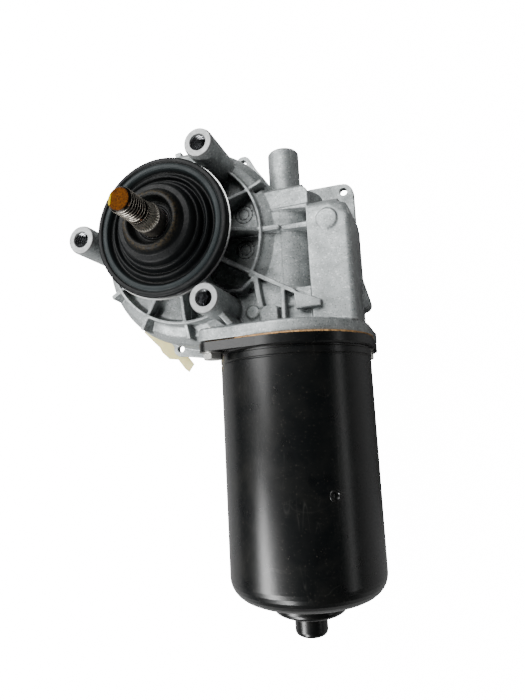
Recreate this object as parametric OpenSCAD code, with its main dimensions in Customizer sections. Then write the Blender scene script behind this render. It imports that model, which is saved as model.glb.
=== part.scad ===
/* [Mounting face] */
// Radius of the circle through the three mounting bosses
boss_circle_r = 37.1; // [36.6:0.1:37.6]
// Outer radius of a mounting boss at its face
boss_r = 6.15; // [5.8:0.05:6.5]
// Core radius of the M8 thread in each boss
boss_hole_r = 3.4; // [3.3:0.05:3.5]
// Depth of the tapped hole
boss_hole_depth = 18; // [12:1:20]

/* [Output shaft] */
// Height of the shaft tip above the mounting face
shaft_tip_z = 28.8; // [28:0.1:30]
// Radius of the M10 thread
thread_r = 5; // [5:0.5:5]
// Length of the thread
thread_len = 12.3; // [11:0.1:13]
// Journal radius
journal_r = 6; // [6:0.5:6]
// Length of the knurled cone
cone_len = 6.5; // [6:0.1:7]

/* [Gear case] */
// Outer radius of the gear case
case_r = 45; // [44.5:0.1:45.5]
// Outer radius of the stiffening ring on its face
ring_r = 37.2; // [37:0.1:37.4]
// Height of the top of that ring
ring_z = -21; // [-21.5:0.1:-20.5]
// Floor of the pockets between the ribs
pocket_z = -26.4; // [-27:0.1:-26]
// Rear face of the casting, where the cover seats
rear_z = -54; // [-55:0.1:-53.9]
// Wall thickness of the casting
wall = 2.4; // [2.2:0.1:2.6]

/* [Motor] */
// Distance of the motor axis from the output axis
motor_x = 43.26; // [43.26:0.01:43.26]
// Height of the motor axis
motor_z = -42; // [-42:0.5:-42]
// Outer radius of the motor can
can_r = 32.8; // [32.6:0.1:33]
// Plate thickness of the can
can_wall = 1.6; // [1.4:0.1:1.8]
// Joint face between casting and can
flange_y = -47; // [-47:0.1:-47]
// Outside of the can's closed end
can_end_y = -152.3; // [-154:0.1:-152]
// Radius of the can's end corner
can_corner_r = 8.4; // [7:0.1:9]

/* [Worm gear] */
// Teeth on the worm wheel
teeth = 48; // [48:1:48]
// Axial pitch of the single-start worm
pitch = 4.75; // [4.75:0.01:4.75]
// Thread turns on the worm
worm_turns = 6; // [4:2:6]

/* [Hidden] */
$fn = 64;

// Running clearances
journal_gap = 0.04;
race_gap = 0.08;

// Gear case levels and inner sizes
rib_step = 30;
floor_z = pocket_z - 3;
cavity_r = 40;
neck_r = 13.5;
neck_bore_r = 8.5;
neck_top_z = 0;
plate_z = -5;
rib_w = 1.5;
tunnel_r = 16.8;
tunnel_bore_r = 9.4;
block_z = -25.12;
block_y0 = 8.8;
block_y1 = 17.2;
flat_z = -26;
throat_z = -26.4;
tower_r = 7.1;
tower_end_y = 42;
tower_bore_r = 5.6;
worm_bore_end_y = 17.5;

// Housing for switch and leads, beside the worm
box_x0 = 56;
box_x1 = 74;
box_front_z = -24;
box_top_y = 9.6;
box_edge_r = 2.6;

// Flange for the can: a disc with two ears, measured round the motor axis
flange_r = 33.3;
flange_t = 5.2;
ear_r = 5.8;
ear_dist = 38;
ear_angles = [-139, 43];
bolt_r = 2.5;
bolt_head_t = 2.6;
bolt_head_r = 4.1;
washer_t = 0.6;

// Rear lugs with their open holes: [x, y, outer radius]
lug_t = 3;
lug_hole_r = 1.65;
lugs = [[68.7, 22.66, 3.9], [20.4, 46.4, 3.9], [-16.9, -43.2, 3.9]];
cover_screw_places = [
    [42.5 * cos(102), 42.5 * sin(102)], [42.5 * cos(150), 42.5 * sin(150)],
    [42.5 * cos(205), 42.5 * sin(205)], [42.5 * cos(250), 42.5 * sin(250)],
    [61, 14], [65.4, -38.7]
];
gasket_t = 0.5;
cover_t = 1.5;

// Motor, along its own axis
can_in_r = can_r - can_wall;
can_flange_t = 3.7;
can_collar_r = 34.1;
joint_t = 0.7;
end_disc_r = 15.3;
end_disc_y = -159.3;
end_boss_r = 6.84;
end_boss_y = -168.8;
core_r = 24.2;
core_y = [-131, -80];
slots = 12;
commutator_r = 12;
commutator_y = [-64, -50];
bearing_y = -38;
bearing_w = 6;
bearing_r = 11;
bearing_bore_r = 5;
shaft_r = 5;
stub_r = 4;
brush_angles = [90, 210, 330];
brush_screw_angles = [-10, 165];
brush_screw_dist = 27;

// Worm gear, from the teeth and the pitch
wheel_pitch_r = teeth * pitch / (2 * PI);
worm_pitch_r = motor_x - wheel_pitch_r;
addendum = 1.15;
dedendum = 1.5;
worm_r = worm_pitch_r + addendum;
worm_root_r = worm_pitch_r - dedendum;
worm_len = worm_turns * pitch;
lead_angle = atan(pitch / (2 * PI * worm_pitch_r));
wheel_w = 10;
wheel_z = motor_z - wheel_w / 2;
hub_r = 8;

// Connector behind the switch housing: centre, outer size and depth
socket_x = 64.4;
socket_y = -8;
socket_w = 15;
socket_len = 26;
socket_depth = 15;
socket_wall = 1.6;
pin_count = 5;

cast_grey = "#a9adae";
steel_grey = "#8d9093";
bronze = "#a8793f";
black_paint = "#17181a";
black_rubber = "#141719";
black_plastic = "#202224";
copper = "#b0622c";

module tube(r_out, r_in, h) {
    difference() {
        cylinder(r = r_out, h = h);
        translate([0, 0, -1]) cylinder(r = r_in, h = h + 2);
    }
}

// Places children on the motor axis: their +Z runs along +Y of the part
module on_motor_axis(y = 0) {
    translate([motor_x, y, motor_z]) rotate([-90, 0, 0]) children();
}

module round_box(size, r) {
    for (sx = [-1, 1], sy = [-1, 1])
        translate([sx * (size[0] / 2 - r), sy * (size[1] / 2 - r), 0]) cylinder(r = r, h = size[2]);
    translate([-size[0] / 2, -size[1] / 2 + r, 0]) cube([size[0], size[1] - 2 * r, size[2]]);
    translate([-size[0] / 2 + r, -size[1] / 2, 0]) cube([size[0] - 2 * r, size[1], size[2]]);
}

// Quarter arc from angle a0 to a1, for the profiles that are turned
function arc(cx, cy, r, a0, a1, n = 6) =
    [for (i = [0:n]) let (a = a0 + (a1 - a0) * i / n) [cx + r * cos(a), cy + r * sin(a)]];

// Outline of the joint between casting and can, round the motor axis
module flange_outline(r, ear) {
    circle(r = r, $fn = 96);
    for (a = ear_angles) rotate(a) {
        translate([ear_dist, 0]) circle(r = ear);
        ear_blend(r, ear);
    }
}

// Straight sides from the round flange to an ear, a hair inside the common tangents
module ear_blend(r, ear) {
    tilt = acos((r - ear) / ear_dist);
    r1 = r - 0.04;
    r2 = ear - 0.04;
    polygon([
        [0, 0], [r1 * cos(tilt), -r1 * sin(tilt)],
        [ear_dist + r2 * cos(tilt), -r2 * sin(tilt)],
        [ear_dist + r2 * cos(tilt), r2 * sin(tilt)],
        [r1 * cos(tilt), r1 * sin(tilt)]
    ]);
}

// Turned outside of the gear case, with its ring and the neck for the shaft
module case_outside() {
    rotate_extrude($fn = 96) polygon(concat(
        [[0, rear_z], [case_r, rear_z]],
        arc(case_r - 1.5, -31.5, 1.5, 0, 80, 4),
        [[ring_r + 1, -27.4], [ring_r, -26.6]],
        arc(ring_r - 0.5, ring_z - 0.5, 0.5, 0, 90, 3),
        [[ring_r - 1.4, ring_z], [ring_r - 1.6, pocket_z + 1], [ring_r - 2.6, pocket_z],
         [neck_r + 2.6, pocket_z], [neck_r + 1, pocket_z + 2], [neck_r, plate_z], [11, plate_z],
         [11, neck_top_z], [0, neck_top_z]]
    ));
}

// Rib from the ring to the neck, rising by the slope towards the neck
module rib(slope, w = rib_w) {
    top = ring_z - 0.3;
    neck_rib_z = top + slope * (ring_r - neck_r);
    rotate([90, 0, 0]) translate([0, 0, -w / 2]) linear_extrude(w)
        polygon([[neck_r - 1, pocket_z - 1], [ring_r - 0.7, pocket_z - 1], [ring_r - 0.7, top],
                 [neck_r - 1, neck_rib_z]]);
}

// Rib on the shoulder outside the ring
module shoulder_rib(reach, end_z, w = 1.9) {
    rotate([90, 0, 0]) translate([0, 0, -w / 2]) linear_extrude(w)
        polygon([[ring_r - 1, -31], [reach + 0.6, -31], [reach, end_z], [ring_r - 1, ring_z - 0.2]]);
}

// Boss with its foot on the ring and a web to the neck
module mounting_boss() {
    web_z = -8;
    translate([boss_circle_r, 0, 0]) {
        rotate_extrude() polygon([[0, pocket_z - 2], [6.4, pocket_z - 2], [6.3, -24],
                                  [boss_r + 0.15, -1], [boss_r - 0.4, 0], [0, 0]]);
    }
    rotate([90, 0, 0]) translate([0, 0, -1.6]) linear_extrude(3.2)
        polygon([[neck_r - 1, pocket_z - 1], [boss_circle_r, pocket_z - 1],
                 [boss_circle_r, -11], [boss_circle_r - 5, -14], [neck_r - 1, web_z - 1]]);
}

module housing_solids() {
    difference() {
        case_outside();
        // the ring is cut away where the pocket below the diagonal rib opens to the flange
        translate([0, 0, throat_z]) intersection() {
            tube(ring_r + 4, 30.5, 12);
            linear_extrude(12) polygon([[0, 0], [60, -39], [60, -76.8]]);
        }
    }
    for (a = [-30, 0, 30]) rotate(a) rib(0.5);
    for (a = [90, -90]) rotate(a) rib(0.25);
    for (a = [120, 150, -150, -120]) rotate(a) rib(0);
    for (a = [60, 180, 300]) rotate(a) mounting_boss();
    rotate(60) boss_buttress();
    lower_boss_gusset();
    raised_shoulder();
    rotate(-150) shoulder_rib(42.2, ring_z - 0.8);
    rotate(-120) shoulder_rib(43.2, ring_z - 0.8);
    rotate(-90) shoulder_rib(43.2, -25);
    // middle rib on to the switch box, a little wider there
    translate([0, 0, -38]) linear_extrude(13.6)
        polygon([[ring_r, -0.65], [box_x0 + 0.6, -1.05], [box_x0 + 0.6, 1.25], [ring_r, 0.95]]);
    rotate(-30) shoulder_rib(57.4, ring_z - 0.6, 1.7);
    rotate(30) translate([0, 0.2, 0]) shoulder_rib(43.6, ring_z - 1.6, 1.7);
    // thick stub where the middle rib meets the tunnel
    translate([ring_r + 0.5, -1.1, -30]) cube([6, 2.2, 8.2]);
    translate([ring_r + 6.5, 0, -30]) cylinder(r = 1.1, h = 8.2);
    open_pocket_wall();
    worm_tunnel();
    switch_box();
    can_flange_casting();
    rear_lugs();
    face_details();
}

// Buttress outside a boss, down to the edge of the case
module boss_buttress(w = 3.6) {
    rotate([90, 0, 0]) translate([0, 0, -w / 2]) linear_extrude(w)
        polygon([[boss_circle_r, -31], [44.6, -31], [43.6, -29], [boss_circle_r + 4.6, -19],
                 [boss_circle_r, -15]]);
}

// Gusset from the lower boss to the flange for the can
module lower_boss_gusset() {
    translate([boss_circle_r / 2, -boss_circle_r * sin(60), 0]) rotate(-56) rotate([90, 0, 0])
        translate([0, 0, -1.2]) linear_extrude(2.4)
            polygon([[4, -31], [12.6, -31], [12.6, -12.5], [5.4, -8], [4, -8]]);
}

// Higher shoulder on the motor side, from the diagonal rib round past the upper boss
module raised_shoulder() {
    intersection() {
        rotate_extrude($fn = 96) polygon([
            [ring_r - 1.2, -32], [case_r - 0.3, -32], [case_r - 0.3, -28.8], [case_r - 1.6, -27.2],
            [41.3, -24.9], [ring_r + 0.6, -23.4], [ring_r - 1.2, -22.6]
        ]);
        translate([0, 0, -33]) linear_extrude(12) polygon([[0, 0], [60, -34.6], [80, 20], [20, 80], [-12, 60]]);
    }
}

// Bent wall that closes the pocket between the diagonal rib and the lower boss
module open_pocket_wall() {
    translate([0, 0, pocket_z - 1]) linear_extrude(ring_z - pocket_z + 0.9) polygon([
        [14.2, -22.2], [17.9, -25.3], [26.2, -26.1], [27.3, -25.8], [32.4, -21.5], [31.6, -20.4],
        [26.4, -24.5], [25.8, -24.7], [18.9, -24], [15.6, -21.2]
    ]);
}

// Half-round casing of the worm, its end block and the blind tower
module worm_tunnel() {
    intersection() {
        union() {
            on_motor_axis(-34) cylinder(r = tunnel_r, h = 34 + worm_bore_end_y, $fn = 96);
            on_motor_axis(block_y0) rotate_extrude() polygon(
                [[0, 0], [13.4, 0], [13.4, 8.6], [tower_r + 1, 10.9], [tower_r + 0.3, 11.6],
                 [tower_r, 12.6], [tower_r, tower_end_y - 9.6],
                 [tower_r - 0.8, tower_end_y - block_y0], [0, tower_end_y - block_y0]]);
        }
        translate([motor_x - 20, -40, rear_z]) cube([40, 90, 34]);
    }
    difference() {
        union() {
            // level strip between the ring and the crown of the tunnel
            translate([30, -34, rear_z]) cube([motor_x - 29, 34 + block_y0 + 1, block_z - rear_z]);
            translate([motor_x - 1, -34, rear_z])
                cube([box_x0 - motor_x + 2, 34 + block_y0 + 1, motor_z - rear_z]);
            // end block round the worm's far bearing, with a bead along its lower edge
            translate([0, 0, rear_z]) linear_extrude(block_z - rear_z) {
                translate([30, block_y0]) square([box_x0 - 30 + 1, block_y1 - block_y0 - 3]);
                translate([30, block_y0]) square([box_x0 - 30 - 2, block_y1 - block_y0]);
                translate([box_x0 - 2, block_y1 - 3]) circle(r = 3);
            }
        }
        translate([0, 0, pocket_z - 0.5]) cylinder(r = ring_r - 1.1, h = 12, $fn = 96);
        translate([0, 0, throat_z]) linear_extrude(12)
            polygon([[20, -10], [31.8, -19], [33, -22], [34.4, -34.5], [20, -40]]);
    }
    translate([0, 0, block_z - 9]) linear_extrude(9.75)
        polygon([[40, 8.7], [48, 7.95], [box_x0 + 0.6, 7.3], [box_x0 + 0.6, 9.1]]);
    translate([34, 0, 0]) rotate([90, 0, 90]) linear_extrude(20.6)
        polygon([[block_y1 - 1, rear_z], [19.2, rear_z], [19.2, block_z - 3], [block_y1, block_z],
                 [block_y1 - 1, block_z]]);
}

// Walls of the switch and lead housing, with rounded front edges
module switch_box() {
    w = box_x1 - box_x0;
    corner_r = 4;
    hull() {
        translate([box_x0, -42.2, rear_z]) cube([w, 40, 1]);
        translate([box_x0, 0, rear_z]) cube([w - 5, box_top_y, 1]);
        translate([box_x1 - 5, box_top_y - 5, rear_z]) cylinder(r = 5, h = 1, $fn = 32);
        translate([box_x0 + 0.8, -42.2, box_front_z - 0.8]) rotate([-90, 0, 0])
            cylinder(r = 0.8, h = 48, $fn = 24);
        translate([box_x1 - box_edge_r, -42.2, box_front_z - box_edge_r]) rotate([-90, 0, 0])
            cylinder(r = box_edge_r, h = 44, $fn = 32);
        translate([box_x0, box_top_y - corner_r, box_front_z - corner_r]) rotate([0, 90, 0])
            cylinder(r = corner_r, h = w - 8, $fn = 32);
        translate([box_x1 - corner_r - 0.6, box_top_y - corner_r - 1, box_front_z - corner_r - 0.6])
            sphere(r = corner_r, $fn = 32);
    }
    // sloping upper end
    translate([box_x0, 0, 0]) rotate([90, 0, 90]) linear_extrude(w - 5)
        polygon([[box_top_y - 3, rear_z], [20, rear_z], [16.5, rear_z + 4], [12.4, -38],
                 [11, box_front_z - 6], [box_top_y - 0.4, box_front_z - 2.6],
                 [box_top_y - 3, box_front_z - 1]]);
    // raised ejector pad on the front
    translate([64.5, 0.7, box_front_z - 1]) cylinder(r = 4.2, h = 1.7);
    // side lug low on the right wall
    translate([74.3, -31.9, rear_z]) cylinder(r = 3.1, h = 9);
    translate([0, 0, rear_z]) linear_extrude(9)
        polygon([[72, -36], [74.8, -34.9], [77.4, -32], [77.2, -30.6], [74, -18], [72, -18]]);
}

module can_flange_casting() {
    on_motor_axis(flange_y) linear_extrude(flange_t - 0.6) flange_outline(flange_r, ear_r);
    on_motor_axis(flange_y + flange_t - 0.6) linear_extrude(0.6)
        flange_outline(flange_r - 0.6, ear_r - 0.6);
    // throat between flange and gear case
    translate([9, -43, rear_z]) cube([box_x1 - 9 - 1.5, 17, throat_z - rear_z]);
    translate([0, 0, throat_z - 2]) linear_extrude(flat_z - throat_z + 2)
        polygon([[33, -43], [box_x0 + 1, -43], [box_x0 + 1, -33], [33, -19.4]]);
}

// Flat lugs at the rear face
module rear_lugs() {
    translate([0, 0, rear_z]) {
        for (l = lugs) translate([l[0], l[1], 0]) cylinder(r = l[2], h = lug_t);
        // shelf above the switch box
        translate([box_x0 - 4, 5, 0]) cube([15.6, 21.8, lug_t]);
        translate([box_x0 - 4, 5, 0]) cube([21.4, 16.6, lug_t]);
        translate([68.4, 21.4, 0]) cylinder(r = 4.9, h = lug_t);
        // webs from the lugs to the case
        linear_extrude(lug_t) {
            polygon([[16.6, 46.8], [11, 42], [34, 28], [32.5, 34], [26.5, 43], [23.7, 48.4], [20, 49]]);
            polygon([[-20.6, -42], [-27, -34], [4, -42], [5, -48.2], [2, -49.6], [-6, -48.6], [-16.2, -47]]);
        }
        translate([60.8, 13.8, 0]) cylinder(r = 4.6, h = 8);
    }
    // clip lug behind the upper left of the case
    rotate(96) translate([case_r - 2, -1.6, -36]) cube([4.6, 3.2, 6]);
}

// Ribs, pads and the fin on the face, between the ring and the flange
module face_details() {
    top = ring_z - 0.3;
    // rib from the ring to the flange
    translate([0, 0, throat_z - 2]) linear_extrude(top - throat_z + 2)
        polygon([[31.7, -18.4], [33.9, -18.4], [36, -33.8], [33.7, -34.2]]);
    // rib beside the window
    translate([43.75, -42.6, throat_z - 2]) cube([1.75, 17.2, top - throat_z + 1.7]);
    translate([42.9, -42.6, throat_z - 2]) cube([0.9, 8.6, top - throat_z - 0.4]);
    // fin that ties the diagonal rib to the switch box
    translate([0, 0, top - 3]) linear_extrude(3)
        polygon([[49.3, -28.3], [60.2, -33.3], [60.2, -35.9], [49.9, -36.1]]);
    translate([55.5, -35.9, throat_z - 2]) cube([4.7, 2.4, top - throat_z + 1]);
    // ejector pad and rounded block above the flange
    translate([29.8, -34.6, throat_z - 1]) cylinder(r = 2.8, h = 1.7);
    translate([38.15, -37, throat_z - 1]) round_box([7.8, 7.2, top - throat_z + 0.7], 2);
}

module gear_housing() {
    color(cast_grey) difference() {
        housing_solids();
        // wheel chamber, neck bore and boss threads
        translate([0, 0, rear_z - 1]) cylinder(r = cavity_r, h = floor_z - rear_z + 1, $fn = 96);
        translate([0, 0, rear_z]) cylinder(r = neck_bore_r, h = 60);
        for (a = [60, 180, 300]) rotate(a) translate([boss_circle_r, 0, -boss_hole_depth])
            cylinder(r = boss_hole_r, h = boss_hole_depth + 1);
        worm_bores();
        // chamber for the switch and leads, open to the rear
        translate([box_x0 + wall, -36, rear_z - 1])
            cube([box_x1 - box_x0 - 2 * wall, 43, box_front_z - wall - rear_z + 1]);
        // way for the leads into the motor
        translate([61, flange_y - 1, -46]) cube([6, 14, 8]);
        for (l = lugs) translate([l[0], l[1], rear_z - 1]) cylinder(r = lug_hole_r, h = 8);
        for (p = cover_screw_places) translate([p[0], p[1], rear_z - 1]) cylinder(r = 1.65, h = 8);
        for (a = ear_angles) on_motor_axis(flange_y - 1) rotate(a) translate([ear_dist, 0, 0])
            cylinder(r = bolt_r + 0.05, h = 12);
        for (a = brush_screw_angles) on_motor_axis(flange_y) rotate(a)
            translate([brush_screw_dist, 0, 0]) cylinder(r = 1.45, h = 8);
        face_marks();
    }
}

module worm_bores() {
    on_motor_axis(flange_y - 1) cylinder(r = 30.8, h = 3);
    on_motor_axis(flange_y - 1) cylinder(r = bearing_r, h = 1 - flange_y + bearing_y + bearing_w / 2);
    on_motor_axis(flange_y) cylinder(r = tunnel_bore_r, h = worm_bore_end_y - flange_y);
    on_motor_axis(0) cylinder(r = tower_bore_r, h = tower_end_y - 1.2);
}

// Shallow marks left by the die, the recess beside the fin and the slot by the ring
module face_marks() {
    for (y = [9.5, -6.5]) translate([27.8, y, pocket_z - 0.35]) {
        tube(4.2, 3.7, 1);
        tube(2.6, 2.1, 1);
    }
    translate([45.8, -32.6, block_z - 0.9]) cube([2.6, 3.7, 3]);
    rotate(30) translate([ring_r + 1, -2.4, -27]) cube([5.6, 1.6, 8]);
}

module cover_outline(inset = 0) {
    difference() {
        circle(r = case_r - 0.8 - inset, $fn = 96);
        // clear of the can flange
        translate([8, -48]) square([40, 6.4]);
    }
    translate([24, -41.6 + inset]) square([49 - inset, 51.6 - 2 * inset]);
    translate([61, 14]) circle(r = 4.4 - inset);
    translate([56.6 + inset, 8]) square([8.8 - 2 * inset, 6]);
}

module cover_gasket() {
    color("#3a3b3c") translate([0, 0, rear_z - gasket_t]) linear_extrude(gasket_t) difference() {
        cover_outline(0.4);
        circle(r = cavity_r + 0.4, $fn = 96);
        translate([box_x0 + wall, -35.6]) square([box_x1 - box_x0 - 2 * wall, 42.2]);
        for (p = cover_screw_places) translate(p) circle(r = 2.1);
    }
}

module rear_cover() {
    cover_z = rear_z - gasket_t - cover_t;
    color(cast_grey) difference() {
        union() {
            translate([0, 0, cover_z]) linear_extrude(cover_t) cover_outline();
            // pressed dome under the shaft end, and stiffening rings
            translate([0, 0, cover_z - 2]) cylinder(r1 = 10, r2 = 12, h = 2);
            translate([0, 0, cover_z - 0.8]) tube(32, 29, 1);
        }
        translate([0, 0, cover_z - 0.6]) cylinder(r = 8, h = 4);
        for (p = cover_screw_places) translate([p[0], p[1], cover_z - 1]) cylinder(r = 2.1, h = 5);
        translate([socket_x, socket_y, cover_z - 1])
            translate([-socket_w / 2 + 2, -socket_len / 2 + 2, 0]) cube([socket_w - 4, socket_len - 4, 5]);
    }
}

module cover_screws() {
    head_z = rear_z - gasket_t - cover_t;
    color(steel_grey) for (p = cover_screw_places) translate([p[0], p[1], 0]) {
        translate([0, 0, head_z]) cylinder(r = 1.6, h = 8);
        difference() {
            translate([0, 0, head_z - 2.2]) cylinder(r1 = 2.6, r2 = 3, h = 2.2);
            translate([-1.9, -0.4, head_z - 3]) cube([3.8, 0.8, 1.8]);
            translate([-0.4, -1.9, head_z - 3]) cube([0.8, 3.8, 1.8]);
        }
    }
}

// Half section of the deep-drawn can, as [radius, distance along the motor axis]
function can_outside() = concat(
    [[can_collar_r, flange_y - joint_t], [can_collar_r, -51.3], [can_collar_r - 0.6, -51.9],
     [can_r - 0.2, -52.1], [can_r - 0.2, -52.7], [can_r + 0.1, -53], [can_r + 0.1, -55.3],
     [can_r - 0.25, -55.6], [can_r - 0.25, -55.9], [can_r, -56.3]],
    arc(can_r - can_corner_r, can_end_y + can_corner_r, can_corner_r, 0, -90, 8),
    [[end_disc_r + 1.2, can_end_y], [end_disc_r, can_end_y - 1.2]],
    arc(end_disc_r - 2, end_disc_y + 2, 2, 0, -90, 4),
    [[end_boss_r + 1.4, end_disc_y], [end_boss_r, end_disc_y - 1.4]],
    arc(end_boss_r - 2, end_boss_y + 2, 2, 0, -90, 4),
    [[0, end_boss_y]]
);

function can_inside() = concat(
    [[0, end_boss_y + 1.4], [end_boss_r - 1.4, end_boss_y + 1.4],
     [end_boss_r - 1.4, end_disc_y + 1], [end_disc_r - 1.5, end_disc_y + 1],
     [end_disc_r - 1.5, can_end_y + 1.7], [can_r - can_corner_r, can_end_y + can_wall]],
    arc(can_r - can_corner_r, can_end_y + can_corner_r, can_corner_r - can_wall, -80, 0, 6),
    [[can_in_r, flange_y - joint_t]]
);

module motor_can() {
    color(black_paint) difference() {
        union() {
            on_motor_axis() rotate_extrude($fn = 96)
                polygon(concat(can_outside(), can_inside()));
            on_motor_axis(flange_y - joint_t - can_flange_t) linear_extrude(can_flange_t) difference() {
                flange_outline(can_collar_r - 0.1, ear_r - 0.2);
                circle(r = can_in_r, $fn = 96);
            }
        }
        for (a = ear_angles) on_motor_axis(flange_y - 5) rotate(a) translate([ear_dist, 0, 0])
            cylinder(r = bolt_r + 0.4, h = 8);
        // seats for the bolt washers, cut into the collar
        for (a = ear_angles) on_motor_axis(flange_y - joint_t - can_flange_t - 2) rotate(a)
            translate([ear_dist, 0, 0]) cylinder(r = bolt_head_r + 0.7, h = 2);
        // staking dimple
        on_motor_axis(-109.5) rotate([0, 0, -54.8]) translate([can_r + 1.5, 0, 0]) sphere(r = 2.3);
    }
}

module can_gasket() {
    color("#7a5a2c") on_motor_axis(flange_y - joint_t) linear_extrude(joint_t) difference() {
        flange_outline(can_collar_r + 0.2, ear_r - 1.2);
        circle(r = 30.9, $fn = 96);
        for (a = ear_angles) rotate(a) translate([ear_dist, 0]) circle(r = bolt_r + 0.4);
    }
}

module can_bolts() {
    under = flange_y - joint_t - can_flange_t - washer_t;
    color("#b9bab5") for (a = ear_angles) on_motor_axis(0) rotate(a) translate([ear_dist, 0, 0]) {
        translate([0, 0, under - bolt_head_t]) cylinder(r = bolt_head_r, h = bolt_head_t, $fn = 6);
        translate([0, 0, under - 1]) cylinder(r = bolt_r, h = 12);
    }
}

module bolt_washers() {
    color("#9a9b97") for (a = ear_angles)
        on_motor_axis(flange_y - joint_t - can_flange_t - washer_t) rotate(a)
            translate([ear_dist, 0, 0]) tube(bolt_head_r + 0.4, bolt_r + 0.2, washer_t);
}

// Moulded water seal that presses on the bodywork round the shaft
module rubber_seal() {
    color(black_rubber) rotate_extrude($fn = 96) polygon([
        [11, plate_z + 1], [29.4, plate_z + 1], [29.5, -1.4], [28.9, -0.7], [27.4, -0.7],
        [27, -1.5], [26.6, -1], [24.9, -0.8], [24.4, -1.6], [23.6, -3], [22.6, -3], [22, -1.2],
        [21.3, -0.3], [20.6, -0.6], [20, -1.8], [19.2, -1.9], [18.7, 0.4], [18, 1.2], [17.4, 0.9],
        [17, 2.6], [16.2, 4.1], [14.4, 4.5], [13.4, 4.7], [12.4, 6.9], [11.4, 7.8], [10.1, 7.8],
        [9.6, 6.8], [9.2, 4.2], [7.4, 3.1], [6.8, 3.6], [6.15, 3.6], [6.15, 2.6], [7, 2], [8.8, 1.8],
        [9.1, 0], [11, 0]
    ]);
}

// Thin dished plate that carries the rubber seal on the neck
module seal_plate() {
    color("#c9cccb") rotate_extrude($fn = 96) polygon([
        [11, plate_z], [26, plate_z], [28.8, plate_z - 0.2], [29.8, plate_z + 0.1],
        [29.9, plate_z + 0.9], [29.45, plate_z + 1], [11, plate_z + 1]
    ]);
}

module upper_bush() {
    color(bronze) translate([0, 0, neck_top_z - 14]) tube(neck_bore_r, journal_r + journal_gap, 11.5);
}

module lower_bush() {
    color(bronze) translate([0, 0, floor_z]) tube(neck_bore_r, journal_r + journal_gap, 12);
}

module shaft_o_ring() {
    color(black_rubber) translate([0, 0, neck_top_z - 1.3]) rotate_extrude()
        translate([7.27, 0]) circle(r = 1.2, $fn = 32);
}

// Two curved field magnets against the can, and the springs between them
module field_magnets() {
    y0 = -138;
    color("#3b3d40") for (a = [0, 180]) on_motor_axis(y0) rotate(a) difference() {
        tube(can_in_r - 0.02, 25.2, 65);
        translate([-40, -80, -1]) cube([80, 80, 67]);
        rotate(22) translate([0, -50, -1]) cube([60, 50, 67]);
        rotate(-22) translate([-60, -50, -1]) cube([60, 50, 67]);
    }
}

module magnet_clips() {
    color(steel_grey) for (a = [0, 180]) on_motor_axis(-132) rotate(a) difference() {
        tube(can_in_r - 0.02, can_in_r - 0.9, 53);
        rotate(19) translate([-50, 0, -1]) cube([100, 60, 55]);
        rotate(-19) translate([-50, -60, -1]) cube([100, 60, 55]);
        translate([-60, -60, -1]) cube([60, 120, 55]);
    }
}

// Insulating plate that closes the can and carries the brush gear
module brush_plate() {
    color("#6b4a2a") on_motor_axis(flange_y) difference() {
        cylinder(r = 30.6, h = 2);
        translate([0, 0, -1]) cylinder(r = 13.4, h = 4);
        translate([17.8, -3, -1]) cube([6, 7, 4]);
        for (a = brush_screw_angles) rotate(a) translate([brush_screw_dist, 0, -1]) cylinder(r = 1.6, h = 4);
    }
}

module brush_plate_screws() {
    color(steel_grey) for (a = brush_screw_angles) on_motor_axis(flange_y) rotate(a)
        translate([brush_screw_dist, 0, 0]) {
            cylinder(r = 1.4, h = 7);
            translate([0, 0, -1.8]) cylinder(r = 2.8, h = 1.8);
        }
}

module brush_holders() {
    color("#b99a4a") for (a = brush_angles) on_motor_axis(flange_y - 11) rotate(a)
        translate([13.2, -3.6, 0]) difference() {
            cube([13.4, 7.2, 11]);
            translate([-1, 0.8, 0.8]) cube([15.4, 5.6, 7.4]);
        }
}

module carbon_brushes() {
    color("#26282a") for (a = brush_angles) on_motor_axis(flange_y - 10) rotate(a) difference() {
        translate([11.5, -2.6, 0]) cube([9, 5.2, 6.8]);
        translate([0, 0, -1]) cylinder(r = commutator_r + 0.12, h = 9);
    }
}

module brush_springs() {
    color(steel_grey) for (a = brush_angles) on_motor_axis(flange_y - 6.6) rotate(a)
        translate([20.5, 0, 0]) rotate([0, 90, 0]) for (i = [0:3])
            translate([0, 0, 0.5 + i * 1.4]) rotate_extrude($fn = 24) translate([1.8, 0]) circle(r = 0.35, $fn = 13);
}

module suppression_chokes() {
    color(copper) for (a = [30, 150]) on_motor_axis(flange_y - 14) rotate(a) translate([18.5, 0, 0]) {
        cylinder(r = 3.4, h = 10);
        translate([0, 0, -1.5]) cylinder(r = 2, h = 15.5);
    }
}

module can_end_bush() {
    color(bronze) on_motor_axis(end_disc_y + 1) difference() {
        union() {
            cylinder(r = 8, h = 2);
            translate([0, 0, 2]) cylinder(r1 = 8, r2 = 9, h = 2);
            translate([0, 0, 4]) cylinder(r1 = 9, r2 = 8, h = 2);
            translate([0, 0, 6]) cylinder(r = 8, h = 2);
        }
        translate([0, 0, -1]) cylinder(r = stub_r + journal_gap, h = 10);
    }
}

module bush_retainer() {
    color(steel_grey) on_motor_axis(end_disc_y + 1) rotate_extrude()
        polygon([[9, 3.6], [9, 4.4], [13.8, 4.4], [13.8, 0], [13, 0], [13, 3.6]]);
}

module end_thrust_pad() {
    color("#d9d2b8") on_motor_axis(end_boss_y + 1.4) cylinder(r = 5.3, h = 1.3);
}

// Deep-groove ball bearing between the motor and the worm
module bearing_outer_race() {
    color(steel_grey) on_motor_axis(bearing_y - bearing_w / 2) difference() {
        tube(bearing_r, 9.1, bearing_w);
        translate([0, 0, bearing_w / 2]) rotate_extrude() translate([8, 0]) circle(r = 1.6 + race_gap, $fn = 32);
    }
}

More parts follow.
